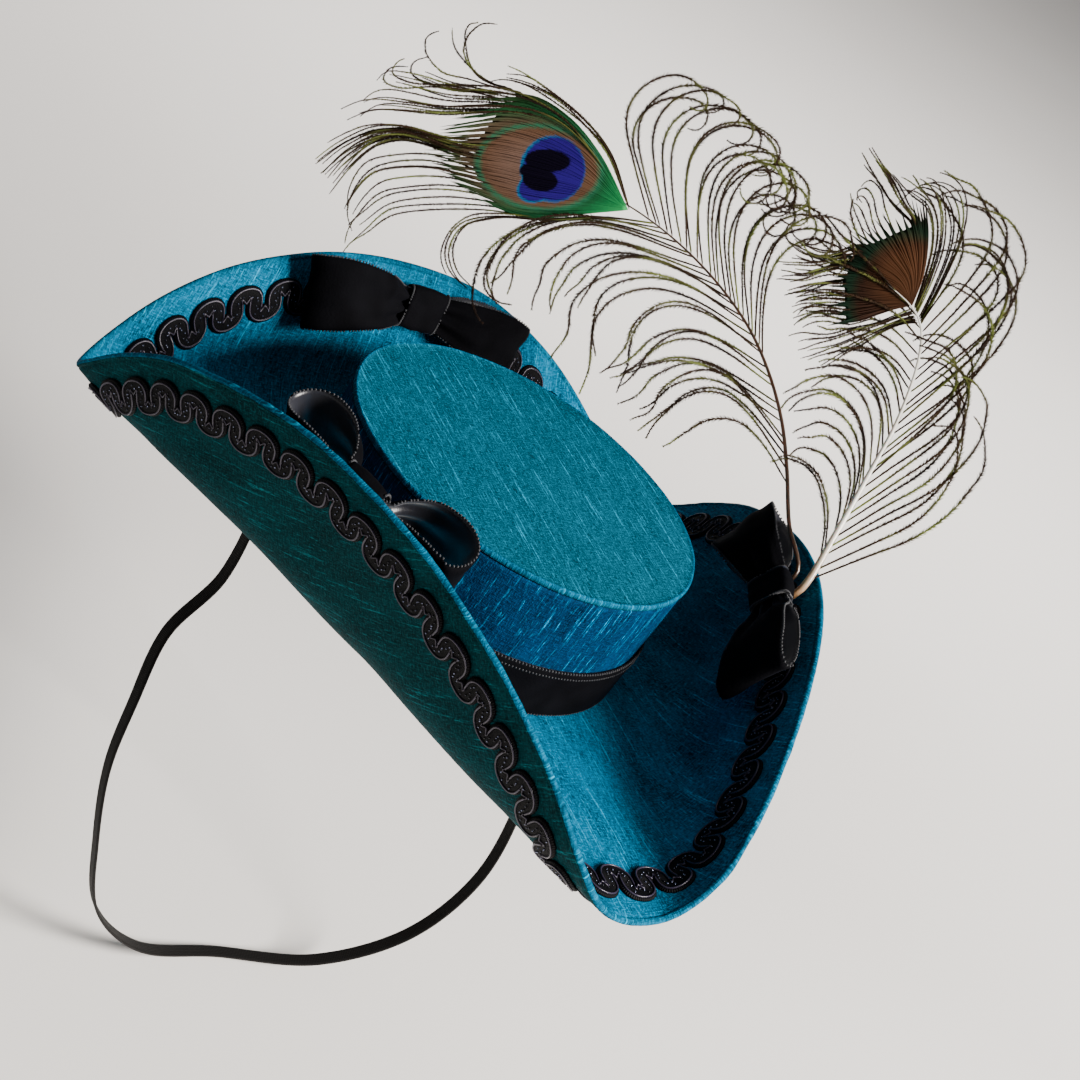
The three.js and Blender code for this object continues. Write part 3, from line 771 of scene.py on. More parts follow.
for name, side in (("upper", 1), ("under", -1)):
    tape = bmesh.new()
    laid_grid(
        tape, scrolls * tape_steps, len(tape_section), tape_place(side),
        lambda u, v: (u * braid_length * wind_pitch, v * 9),
    )
    braid = add_piece("braid_" + name + "_gimp", tape, "black_gimp", gimp, weld=0.002)
    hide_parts("braid_" + name)
    cords = bmesh.new()
    for edge in (-1, 1):
        laid_grid(
            cords, scrolls * cord_steps, cord_sides, cord_place(side, edge),
            lambda u, v: (u * braid_length * wind_pitch, v * 3),
        )
    add_piece("braid_" + name + "_cords", cords, "black_gimp", satin_cord, weld=0.002)
    seeds = bmesh.new()
    add_beads(seeds, seeds_on(side), seed_radius)
    add_piece("braid_" + name + "_seeds", seeds, "black_gimp", seed_glass)


# Bows: black velvet ribbon with picot edges and a satin back, folded into two loops and bound by a short
# wrap of the same ribbon. Each is sewn flat on the braid of its flap, and its loops stand off it.
bow_drop = 13.0
ribbon_width = 24.0
ribbon_wall = 0.9
loop_length = 42.0
loop_puff = 14.0
loop_step = 1.1
knot_length = 14.0
knot_wall = 1.1
knot_height = 15.0
knot_depth = 6.8
knot_gather = 2.0
short_quill = 2.6
over_braid = brim_wall / 2 + gap + braid_thickness

# A loop's course from the knot out along the seat and back over the top, then the ribbon's width there, as
# shares of loop_length, loop_puff and ribbon_width.
loop_rows = (
    (0.45, 0.0, 0.76), (0.76, 0.0, 0.96), (0.94, 0.12, 1.0), (1.0, 0.42, 1.03),
    (0.95, 0.76, 1.04), (0.77, 1.0, 1.0), (0.5, 0.94, 0.82), (0.29, 0.56, 0.62),
)
# Each bow's angle, the room for quills under it, and for the loop to each side its length, its puff and how
# far its outer end leans across the ribbon, in shares and mm.
bows = {
    "rear_bow": (90, 0.0, {1: (1.0, 1.0, -3.0), -1: (1.0, 0.84, 2.0)}),
    "right_bow": (206, 0.0, {1: (0.83, 1.15, 0.0), -1: (0.8, 1.08, 0.0)}),
    "left_bow": (-28, short_quill + gap, {1: (0.97, 0.85, -1.5), -1: (1.0, 0.58, 2.0)}),
}
loop_names = {1: "a", -1: "b"}


def smooth_course(points, step):
    """Points about a step apart on a smooth curve through the given ones."""
    ends = [points[0] * 2 - points[1], *points, points[-1] * 2 - points[-2]]
    course = []
    for before, start, end, after in zip(ends, ends[1:], ends[2:], ends[3:]):
        pairs = ((before, start), (start, end), (end, after))
        first, middle, last = ((q - p).length ** 0.5 for p, q in pairs)
        leave = (start - before) / first - (end - before) / (first + middle) + (end - start) / middle
        arrive = (end - start) / middle - (after - start) / (middle + last) + (after - end) / last
        pieces = max(1, round((end - start).length / step))
        for i in range(pieces):
            t = i / pieces
            course.append(
                start * (2 * t ** 3 - 3 * t ** 2 + 1)
                + leave * middle * (t ** 3 - 2 * t ** 2 + t)
                + end * (3 * t ** 2 - 2 * t ** 3)
                + arrive * middle * (t ** 3 - t ** 2)
            )
    course.append(points[-1].copy())
    return course


def on_bow(angle, room, along, across, lift):
    """A point of a bow: along the flap from the knot, across the ribbon, lift off the bow's seat."""
    foot = on_brim(angle, bow_drop, 0) / mm
    turned = math.degrees(along / math.hypot(foot.x, foot.y))
    return on_brim(angle + turned, bow_drop + across, over_braid + gap + room + lift)


def ribbon_rim(strips):
    """Stations round a strip's section: share across, and 1 on its first face or -1 on the other."""
    outer = [(-1 + 2 * i / strips, 1) for i in range(strips + 1)]
    return outer + [(share, -1) for share, face in reversed(outer)] + [outer[0]]


ribbon_section = ribbon_rim(14)


def make_loop(name, angle, room, side, length_share, puff_share, lean):
    """One loop of a bow. Gives the places of the picots on its two edges."""
    pinched = knot_height - 2 * knot_wall - 2 * gap
    low, high = (knot_depth / 2 + layer * (ribbon_wall + gap) / 2 for layer in (-1, 1))
    stops = [Vector((knot_gather, low, pinched)), Vector((knot_length / 2 + gap, low, pinched))]
    for along, puff, width in loop_rows:
        stops.append(Vector((
            along * loop_length * length_share,
            puff * loop_puff * puff_share + ribbon_wall / 2,
            width * ribbon_width,
        )))
    stops += [Vector((knot_length / 2 + gap, high, pinched)), Vector((knot_gather, high, pinched))]
    course = smooth_course(stops, loop_step)
    last = len(course) - 1
    seed = angle * 0.37 + side * 5

    def ribbon_point(index, share, offset):
        here = course[index]
        run = course[min(index + 1, last)] - course[max(index - 1, 0)]
        run = Vector((run.x, run.y)).normalized()
        out = max(0.0, (here.x - knot_length / 2) / (loop_length - knot_length / 2))
        gather = (1 - min(1.0, out / 0.62)) ** 1.4
        if here.x < knot_length / 2:
            gather = 0.55
        phase, fold_size, crease_size = 0.0, 0.35, 0.0
        if here.y > loop_puff * puff_share * 0.3:
            phase, fold_size, crease_size = 0.4, 1.35, 0.9
        folds = math.cos(math.pi * (2.5 * share + phase)) * fold_size
        crease = math.exp(-((share + 0.35 - 0.5 * out) / 0.16) ** 2) * crease_size
        soft = rough(here.x / 11 + seed, share * 1.6, here.y / 9) * min(1.0, out * 3) * 1.1
        curl = (share ** 2) * 0.6 * out
        push = offset + folds * gather - crease * gather * 1.2 + (soft - curl if here.y > 1.5 else 0.0)
        along = here.x - run.y * push
        lift = max(here.y + run.x * push, ribbon_wall / 2 + offset if offset < 0 else ribbon_wall)
        across = share * here.z / 2 + lean * out * min(1.0, here.y / loop_puff + 0.4)
        return on_bow(angle, room, side * along, across, lift)

    def place(u, v):
        index = round(u * last)
        share, face = at_share(ribbon_section, v)
        wall = 0.0 if index in (0, last) else ribbon_wall / 2
        thin = 0.55 if abs(share) > 0.9 else 1.0
        return ribbon_point(index, share, face * wall * thin)

    def cloth(u, v):
        share, face = at_share(ribbon_section, v)
        return u * last * loop_step, share * ribbon_width / 2

    strip = bmesh.new()
    turn_over = (len(ribbon_section) // 2 - 0.5) / (len(ribbon_section) - 1)
    laid_grid(strip, last, len(ribbon_section) - 1, place, cloth, lambda u, v: 1 if v < turn_over else 0)
    loop = add_piece(name + "_velvet", strip, "black_velvet", velvet, satin, weld=0.005)
    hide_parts(name)
    edges = []
    for share in (-1.02, 1.02):
        walked = 0.0
        for index in range(3, last - 3):
            spot = ribbon_point(index, share, 0.15)
            walked += (spot - ribbon_point(index - 1, share, 0.15)).length / mm
            if walked >= picot_pitch:
                walked -= picot_pitch
                edges.append(spot)
    return edges


def make_knot(name, angle, room):
    """The wrap that binds a bow. Gives the places of the picots on its two edges."""
    sections = 36
    strips = 10
    edge_picots = 30

    def squared(value):
        return math.copysign(abs(value) ** 0.55, value)

    def place(u, v):
        turn = 2 * math.pi * u
        share, face = at_share(knot_section, v)
        inset = 0.0 if face > 0 else knot_wall
        pull = 0.35 * rough(share * 2.6, math.cos(turn) * 0.7, math.sin(turn) * 0.7 + angle)
        puff = (0.45 * (1 - share ** 2) + pull) if face > 0 else 0.0
        across = squared(math.cos(turn)) * (knot_height / 2 - inset + puff)
        lift = knot_depth / 2 + squared(math.sin(turn)) * (knot_depth / 2 - inset + puff)
        return on_bow(angle, room, share * knot_length / 2 + 0.12 * across, across, max(lift, 0.1))

    knot_section = ribbon_rim(strips)
    wrap = bmesh.new()
    laid_grid(
        wrap, sections, len(knot_section) - 1, place,
        lambda u, v: (u * 40, at_share(knot_section, v)[0] * knot_length / 2),
        lambda u, v: 0 if v < 0.5 else 1,
    )
    knot = add_piece(name + "_velvet", wrap, "black_velvet", velvet, satin, weld=0.005)
    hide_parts(name)
    edges = []
    for share in (-1.0, 1.0):
        for i in range(edge_picots):
            turn = math.pi * (i + 0.5) / edge_picots
            across = squared(math.cos(turn)) * (knot_height / 2)
            lift = knot_depth / 2 + squared(math.sin(turn)) * (knot_depth / 2)
            along = share * (knot_length / 2 + 0.25) + 0.12 * across
            edges.append(on_bow(angle, room, along, across, lift - 0.1))
    return edges


for name, (angle, room, loops) in bows.items():
    picots = []
    for side, (length_share, puff_share, lean) in loops.items():
        loop_name = name + "_loop_" + loop_names[side]
        picots += make_loop(loop_name, angle, room, side, length_share, puff_share, lean)
    picots += make_knot(name + "_knot", angle, room)
    edging = bmesh.new()
    add_beads(edging, picots, picot_radius)
    add_piece(name + "_picots", edging, "black_velvet", picot)


# Feathers: two peacock tail feathers with trimmed quills under the left bow. Their barbs are stripped of
# most barbules, so they part and curl, and end round a broad eye whose barbs still cling together.
vane_turn = (
    Matrix.Rotation(math.radians(-44), 3, "Z")
    @ Matrix.Rotation(math.radians(90 - 25.8), 3, "X")
    @ Matrix.Rotation(math.radians(35.5), 3, "Z")
)
bend_steps = 12
first_bend = 0.2
quill_tip = 0.3
quill_heel = 10.0
feather_drop = 4.5
barb_phase = 37.0
barbule_pitch = 0.42
barbule_length = 2.0
barbule_radius = 0.24
barb_step = 1.6
barb_waver = 0.05
tip_waver = 2.4
tip_waver_from = 0.62
hairs_from = 0.04
hairs_fade_from = 0.76
parted_hair_share = 0.6

# Barbs: brown-black horn, olive where the light passes through the fine hairs on them.
barb_horn, tree = new_material("peacock_barb", Roughness=0.65, Specular_IOR_Level=0.1)
tone = add_node(tree, "ShaderNodeValToRGB", {"Fac": grain(tree, cloth_place(tree), 0.05)})
ramp = tone.color_ramp.elements
ramp[0].position, ramp[0].color = 0.35, colour("#160d08")
ramp[1].position, ramp[1].color = 0.66, colour("#667035")
ramp.new(0.5).color = colour("#2c1d10")
dress(tree, tone.outputs["Color"])

# Shafts: dark brown horn on the long feather, and ivory horn with a brown foot on the short one.
shaft_horn = {}
for name, pale, dark in (("long", "#2c2016", "#3d2818"), ("short", "#f1ece0", "#9a7048")):
    shaft_horn[name], tree = new_material(
        name + "_feather_shaft", Roughness=0.3, Coat_Weight=0.3, Subsurface_Weight=0.1,
    )
    along = add_node(tree, "ShaderNodeSeparateXYZ", {"Vector": cloth_place(tree)})
    dress(tree, mixed(tree, spread(tree, along.outputs["X"], 6.0, 40.0), dark, pale))


# Eye: the barbules of the eye shine by their layers, so the colours are clear and slightly metallic: a
# violet-black heart in cobalt blue, a bronze field round it and an emerald border.
def eye_material(name, zones, field):
    """Colours in ovals. A zone is a centre and radii in mm, a tilt, a colour and its edge's softness."""
    material, tree = new_material(name, Roughness=0.6, Metallic=0.12, Specular_IOR_Level=0.06)
    marks = cloth_place(tree)
    uneven = grain(tree, marks, 0.9, 3.0)
    shown = mixed(tree, uneven, *field)

    def worked(operation, *values):
        return add_node(tree, "ShaderNodeVectorMath", dict(enumerate(values)), operation=operation)

    for (x, y), (wide, high), tilt, hex_code, soft in zones:
        turned = add_node(tree, "ShaderNodeVectorRotate", {
            "Vector": worked("SUBTRACT", marks, (x, y, 0)).outputs[0], "Angle": math.radians(-tilt),
        }, rotation_type="Z_AXIS")
        scaled = worked("DIVIDE", turned.outputs[0], (wide, high, 1))
        reach = worked("LENGTH", scaled.outputs[0]).outputs["Value"]
        ragged = add_node(tree, "ShaderNodeMath", {0: uneven, 1: 0.12, 2: reach}, operation="MULTIPLY_ADD")
        shown = mixed(tree, spread(tree, ragged.outputs[0], 1.06 + soft, 1.06 - soft), shown, hex_code)
    dress(tree, shown)
    return material


long_eye_colours = eye_material("peacock_eye_front", (
    ((12.0, -6.0), (22.0, 14.0), 150, "#22854a", 0.3),
    ((-6.0, 2.0), (29.0, 21.5), 165, "#1a5230", 0.16),
    ((-10.0, 2.8), (24.0, 16.2), 170, "#4e4232", 0.14),
    ((-4.6, 0.6), (22.0, 15.4), 172, "#25664a", 0.05),
    ((-4.5, 0.6), (20.4, 14.1), 172, "#5e4433", 0.05),
    ((-9.0, 0.8), (11.0, 9.6), 172, "#6b5347", 0.4),
    ((-5.5, -6.5), (7.0, 5.3), 20, "#0e5f8a", 0.05),
    ((0.0, 0.0), (11.2, 11.8), 0, "#0e5f8a", 0.03),
    ((-5.2, -6.3), (6.5, 4.8), 20, "#250f6c", 0.06),
    ((0.5, 0.0), (10.6, 11.4), 0, "#250f6c", 0.05),
    ((-1.7, 3.0), (7.8, 4.0), 176, "#070312", 0.05),
    ((-4.3, -3.9), (6.1, 4.0), 170, "#070312", 0.05),
    ((-7.6, -0.6), (2.6, 3.8), 90, "#070312", 0.1),
), ("#1c210e", "#34381a"))
short_eye_colours = eye_material("peacock_eye_back", (
    ((0.0, 0.0), (27.5, 27.5), 0, "#12261a", 0.1),
    ((0.0, 0.0), (22.8, 22.8), 0, "#2a1a12", 0.08),
    ((-5.5, 11.0), (9.5, 12.0), 152, "#432a1a", 0.4),
), ("#0b0d09", "#171c10"))

# Each feather's shaft from the bow to its eye, as shares of its length across to the right of the vane and
# up along it. Barbs leave it at "at" of its length, are "long" of it, and leave at an angle in degrees from
# the shaft, positive to the left. The turns are how far each has bent at even shares from a quarter on.
feathers = {
    "long": {
        "length": 172, "along": 11, "lean": 8, "quill": 1.6, "seed": 5, "tip_lift": -1.0,
        "shaft": ((0, 0), (-.015, .09), (-.018, .199), (-.027, .298), (-.053, .4), (-.094, .493),
                  (-.168, .596), (-.268, .692), (-.369, .76), (-.498, .815)),
        "right": (
            (.42, .39, -23, (-4, -11, -37, -70, -124, -210)),
            (.48, .53, -26, (0, -22, -67, -124, -227, -385)),
            (.53, .51, -28, (-3, -22, -63, -131, -229, -365)),
            (.66, .5, -39, (-4, -20, -70, -131, -194, -330)),
            (.77, .47, -37, (0, 0, -53, -92, -145, -330)),
        ),
        "left": (
            (.17, .35, 31, (0, 15, 70, 116, 100)), (.25, .41, 32, (0, 11, 71, 114, 90)),
            (.31, .32, 45, (0, 4, 25, 45, 58)), (.42, .41, 28, (0, 20, 76, 122, 70)),
            (.48, .54, 28, (0, 25, 60, 125, 110)), (.53, .37, 19, (0, 14, 38, 80, 113)),
            (.6, .42, 27, (0, 2, 34, 80, 101)), (.66, .44, 22, (0, 10, 37, 65, 83)),
            (.76, .53, 27, (4, 18, 45, 90, 185)),
        ),
        "counts": {"right": 23, "left": 27},
    },
    "short": {
        "length": 126, "along": 0, "lean": 12, "quill": 2.6, "seed": 8, "tip_lift": 0.5,
        "shaft": ((0, 0), (.096, .151), (.19, .316), (.263, .448), (.327, .62), (.338, .72), (.316, .771),
                  (.244, .845)),
        "right": (
            (.04, .68, -33, (0, 0, 17, 35, 59, 123)), (.17, .69, -31, (0, -6, 15, 33, 74, 188)),
            (.36, .58, -23, (0, 2, 10, 64, 123, 158)), (.49, .71, -25, (0, 8, 16, 32, 82, 170)),
            (.67, .66, -32, (0, 4, 11, 71, 119, 178)), (.79, .69, -34, (0, -1, 14, 73, 114, 145)),
            (.85, .5, -56, (0, 12, 53, 90, 75)),
        ),
        "left": (
            (.09, .37, 22, (0, 14, 27, 70, 114)), (.25, .37, 14, (0, 20, 45, 90, 133)),
            (.33, .47, 25, (0, 22, 60, 115, 152)), (.43, .43, 22, (0, 22, 60, 110, 139)),
            (.5, .32, 30, (0, 25, 51, 80, 100)), (.57, .28, 28, (0, 18, 35, 55, 71)),
            (.67, .26, 49, (0, 25, 49, 52, 54)), (.74, .33, 53, (0, 24, 45, 49, 49)),
            (.86, .35, 24, (0, 14, 25, 27, 27)), (1.0, .25, -18, (0, -3, -8, -18, -29)),
        ),
        "counts": {"right": 24, "left": 26},
    },
}


def add_rod(bm, course, sides, radii, put, mark):
    """A thin rod along a course, closed at both ends."""
    count = len(course) - 1

    def place(u, v):
        i = round(u * count)
        run = (course[min(i + 1, count)] - course[max(i - 1, 0)]).normalized()
        side = run.cross(Vector((0, 0, 1))).normalized()
        turn = 2 * math.pi * v
        wide, deep = (0.0, 0.0) if u in (0, 1) else radii(u)
        return put(course[i] + side * wide * math.cos(turn) + side.cross(run) * deep * math.sin(turn))

    laid_grid(bm, count, sides, place, mark)


def add_spikes(name, spikes, slot, material):
    """Joins one tiny closed spike at each place, as (root, tip, radius, mark) in mm on the feather."""
    pattern = bmesh.new()
    bmesh.ops.create_cone(pattern, cap_ends=True, segments=3, radius1=1.0, radius2=0.0, depth=1.0)
    bmesh.ops.translate(pattern, verts=pattern.verts, vec=(0, 0, 0.5))
    bmesh.ops.remove_doubles(pattern, verts=pattern.verts, dist=0.001)
    pattern.verts.index_update()
    corners = numpy.array([vert.co for vert in pattern.verts])
    sides = [[vert.index for vert in face.verts] for face in pattern.faces]
    pattern.free()
    turns, spots, placed = [], [], []
    for root, tip, radius, mark in spikes:
        run = tip - root
        side = run.orthogonal().normalized() * radius
        front = run.normalized().cross(side)
        turns.append((side, front, run))
        spots.append(root)
        placed.append(mark)
    joined = numpy.einsum("nji,vj->nvi", numpy.array(turns), corners) + numpy.array(spots)[:, None, :]
    faces = [
        [corner + copy * len(corners) for corner in side]
        for copy in range(len(spikes)) for side in sides
    ]
    mesh = bpy.data.meshes.new(name)
    mesh.from_pydata(joined.reshape(-1, 3).tolist(), [], faces)
    layer = mesh.uv_layers.new(name="cloth")
    loops = sum(len(side) for side in sides)
    layer.data.foreach_set("uv", numpy.repeat(numpy.array(placed), loops, axis=0).ravel())
    place_mesh(name, mesh, slot, material)


def turned_by(turns, share):
    """How far a barb has bent at a share of its length."""
    if share <= first_bend:
        return turns[0] * share / first_bend
    at = (share - first_bend) / (1 - first_bend) * (len(turns) - 1)
    low = min(int(at), len(turns) - 2)
    return turns[low] + (turns[low + 1] - turns[low]) * (at - low)


def between_barbs(rows, at):
    """A barb's length, angle and turns, between the two rows it stands between."""
    low = max([i for i, row in enumerate(rows[:-1]) if row[0] <= at], default=0)
    first, second = rows[low], rows[low + 1]
    share = min(1.0, max(0.0, (at - first[0]) / (second[0] - first[0])))
    turns = [
        turned_by(first[3], i / bend_steps) * (1 - share) + turned_by(second[3], i / bend_steps) * share
        for i in range(bend_steps + 1)
    ]
    return first[1] + (second[1] - first[1]) * share, first[2] + (second[2] - first[2]) * share, turns


def make_feather(name, values):
    """A feather's shaft. Gives what puts a point of its vane in place, and the courses of its barbs."""
    length = values["length"]
    seat = bows["left_bow"][0]
    foot = on_bow(seat, 0, values["along"], feather_drop - bow_drop, short_quill / 2)
    heel = on_bow(seat, 0, values["along"] * 0.7, feather_drop + quill_heel - bow_drop, short_quill / 2)
    turn = vane_turn @ Matrix.Rotation(math.radians(-values["lean"]), 3, "X")
    scatter = random.Random(values["seed"])

    def put(spot):
        return foot + turn @ spot * mm

    heel_spot = turn.inverted() @ ((heel - foot) / mm)
    stops = [Vector((x, y, 0)) * length for x, y in values["shaft"]]
    for stop in stops[-2:]:
        stop.z += values["tip_lift"]
    shaft = smooth_course([heel_spot, *stops], 3.0)
    gone = lengths_along(shaft)
    vane = gone[-1] - shaft[0].length

    def on_shaft(at):
        want = gone[-1] - vane * (1 - at)
        i = max(j for j, come in enumerate(gone[:-1]) if come <= want or j == 0)
        run = shaft[i + 1] - shaft[i]
        return shaft[i] + run * min(1.0, (want - gone[i]) / run.length), run.normalized()

    bm = bmesh.new()
    quill = values["quill"]

    def shaft_radii(u):
        radius = quill / 2 + (quill_tip / 2 - quill / 2) * u ** 1.3
        return radius, radius

    add_rod(bm, shaft, 8, shaft_radii, put, lambda u, v: (u * gone[-1], v * 6))
    stem = add_piece("feather_" + name + "_shaft", bm, "peacock_feather", shaft_horn[name], weld=0.005)
    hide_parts("feather_" + name)

    courses = []
    for side in ("right", "left"):
        rows = values[side]
        count = values["counts"][side]
        hand = -1 if side == "right" else 1
        for i in range(count):
            at = rows[0][0] + (rows[-1][0] - rows[0][0]) * (i + scatter.uniform(-0.3, 0.3)) / (count - 1)
            at = min(0.995, max(0.02, at))
            reach, leave, turns = between_barbs(rows, at)
            reach *= length * scatter.uniform(0.9, 1.06)
            wilful = scatter.uniform(0.86, 1.12)
            root, run = on_shaft(at)
            heading = math.atan2(run.y, run.x) + math.radians(leave + scatter.uniform(-3, 3))
            splay = 0.14 * math.sin(i * 2.4) + (0.05 if side == "right" else -0.03)
            steps = max(10, round(reach / barb_step))
            course = [root]
            for step in range(steps):
                share = (step + 0.5) / steps
                bent = share * bend_steps
                low = min(bend_steps - 1, int(bent))
                bend = math.radians(turns[low] + (turns[low + 1] - turns[low]) * (bent - low)) * wilful
                waver = barb_waver * rough(i * 3.1, share * 5, values["seed"] + hand)
                loose = tip_waver * max(0.0, share - tip_waver_from)
                waver += loose * rough(i * 7.7, share * 9, hand * 4.0)
                angle = heading + bend + waver
                step_on = Vector((math.cos(angle), math.sin(angle), splay * (1 - share)))
                course.append(course[-1] + step_on.normalized() * reach / steps)
            courses.append(course)
    return put, courses


def loose_barbs(groups, seed):
    """Barbs that have parted from the eye. A group's barbs lie between its first course and its last."""
    scatter = random.Random(seed)
    steps = 40
    courses = []
    for count, *ends in groups:
        first, last = (smooth_course([Vector((x, y, 0)) for x, y in end], 0.8) for end in ends)
        for i in range(count):
            mix = (i + scatter.uniform(-0.35, 0.35)) / max(1, count - 1)
            reach = scatter.uniform(0.82, 1.04)
            rise = scatter.uniform(-0.16, 0.16)
            wander = scatter.uniform(0, 100)
            course = []
            for step in range(steps + 1):
                share = min(1.0, step / steps * reach)
                spot = at_share(first, share).lerp(at_share(last, share), mix)
                loose = share ** 1.5 * 2.6
                sway = Vector((
                    rough(share * 2.6, wander, 0),
                    rough(share * 2.6, wander, 5),
                    rough(share * 2.0, wander, 9) * 1.5,
                ))
                lift = rise * share * spot.length * 0.3 - 0.9
                course.append(spot + sway * loose + Vector((0, 0, lift)))
            smoothed = [course[0]]
            for before, here, after in zip(course, course[1:], course[2:]):
                smoothed.append((before + here * 2 + after) / 4)
            courses.append([*smoothed, course[-1]])
    return courses


def add_barbs(name, courses, parted, put, seed):
    """The shaft's barbs and the eye's parted ones, and the fine hairs on both sides of each."""
    scatter = random.Random(seed)
    bm = bmesh.new()
    spikes = []
    for i, course in enumerate([*courses, *parted]):
        thick = scatter.uniform(0.32, 0.42)
        add_rod(
            bm, course, 3, lambda u: (thick * (1 - 0.5 * u), thick * (1 - 0.5 * u)), put,
            lambda u, v: (i * barb_phase + u * 60, v),
        )
        full = lengths_along(course)[-1]
        walked = 0.0
        for before, after in zip(course, course[1:]):
            run = after - before
            hairs = max(1, round(run.length / barbule_pitch))
            for hair in range(hairs):
                walked += run.length / hairs
                share = walked / full
                if share < hairs_from:
                    continue
                spot = before.lerp(after, (hair + scatter.random()) / hairs)
                grown = min(1.0, 0.3 + 1.7 * share) * (1.0 - 2.4 * max(0.0, share - hairs_fade_from))
                longest = barbule_length * grown * (1.0 if i < len(courses) else parted_hair_share)
                for way in (-1, 1):
                    tilt = math.radians(way * scatter.uniform(20, 50))
                    aim = Vector((
                        run.x * math.cos(tilt) - run.y * math.sin(tilt),
                        run.x * math.sin(tilt) + run.y * math.cos(tilt),
                        run.length * scatter.uniform(-0.5, 0.5),
                    )).normalized()
                    end = spot + aim * longest * scatter.uniform(0.7, 1.0)
                    mark = (i * barb_phase + share * 60, 0.0)
                    spikes.append((put(spot), put(end), barbule_radius * mm, mark))
    add_piece("feather_" + name + "_barbs", bm, "peacock_feather", barb_horn, weld=0.002)
    add_spikes("feather_" + name + "_barbules", spikes, "peacock_feather", barb_horn)


# Groups of parted barbs round each eye: how many, then the first course and the last, in mm on the vane.
long_loose = (
    (15, ((-56.5, 125.5), (-65.9, 140.8), (-76.1, 155.7), (-89.8, 164.9), (-101.7, 168.6),
         (-115.4, 169.5), (-127.3, 174.2), (-137.6, 176.0), (-140.6, 171.4)),
     ((-56.5, 125.5), (-68.5, 144.5), (-81.3, 155.7), (-94.0, 159.3), (-106.8, 159.3), (-119.6, 158.5),
         (-132.4, 159.3), (-145.2, 159.3), (-155.5, 155.1))),
    (20, ((-89.8, 152.9), (-106.8, 149.6), (-118.8, 150.1), (-130.7, 153.3), (-138.4, 153.7),
         (-146.1, 152.9), (-156.3, 148.2), (-164.9, 141.7)),
     ((-91.5, 139.9), (-106.8, 140.8), (-115.4, 144.5), (-125.6, 148.7), (-135.0, 151.0),
         (-143.5, 149.1), (-152.1, 141.7), (-158.9, 132.4))),
    (10, ((-93.2, 137.1), (-101.7, 137.1), (-112.0, 140.8), (-123.9, 145.4), (-135.9, 145.9),
         (-146.1, 143.6), (-152.1, 136.2), (-154.2, 128.8), (-152.5, 121.4)),
     ((-83.0, 122.2), (-93.2, 123.2), (-105.1, 125.0), (-115.4, 125.5), (-127.3, 125.0), (-137.6, 123.2),
         (-146.1, 117.6), (-152.1, 113.9), (-155.5, 109.3))),
    (4, ((-77.0, 121.4), (-89.8, 122.2), (-101.7, 122.8), (-110.3, 122.2), (-117.1, 117.6),
         (-120.5, 110.2), (-118.8, 102.8), (-113.7, 97.3)),
     ((-68.5, 122.2), (-84.7, 121.1), (-95.8, 122.2), (-105.1, 121.4), (-112.0, 119.5), (-116.2, 111.1),
         (-114.5, 102.8), (-107.7, 95.9))),
    (5, ((-55.7, 124.6), (-61.6, 144.5), (-71.0, 157.5), (-83.0, 167.7), (-91.5, 173.2), (-100.0, 174.9),
         (-107.7, 173.7)),
     ((-56.5, 126.9), (-64.2, 146.3), (-74.4, 158.5), (-84.7, 165.8), (-93.2, 169.5), (-98.3, 170.5),
         (-103.4, 168.6))),
    (3, ((-93.2, 166.7), (-101.7, 169.5), (-107.7, 173.2), (-112.0, 178.8), (-115.4, 185.2),
         (-115.4, 190.8), (-109.4, 195.2)),
     ((-98.3, 168.6), (-106.8, 171.4), (-110.3, 175.1), (-112.8, 181.6), (-110.3, 188.0),
         (-105.1, 190.8), (-99.2, 189.4))),
    (4, ((-100.0, 167.7), (-110.3, 170.5), (-120.5, 172.3), (-125.6, 178.8), (-124.8, 184.4),
         (-118.8, 186.6)),
     ((-101.7, 164.9), (-115.4, 167.7), (-125.6, 168.6), (-135.0, 168.6), (-141.0, 171.4),
         (-138.4, 175.6), (-125.6, 174.6))),
)
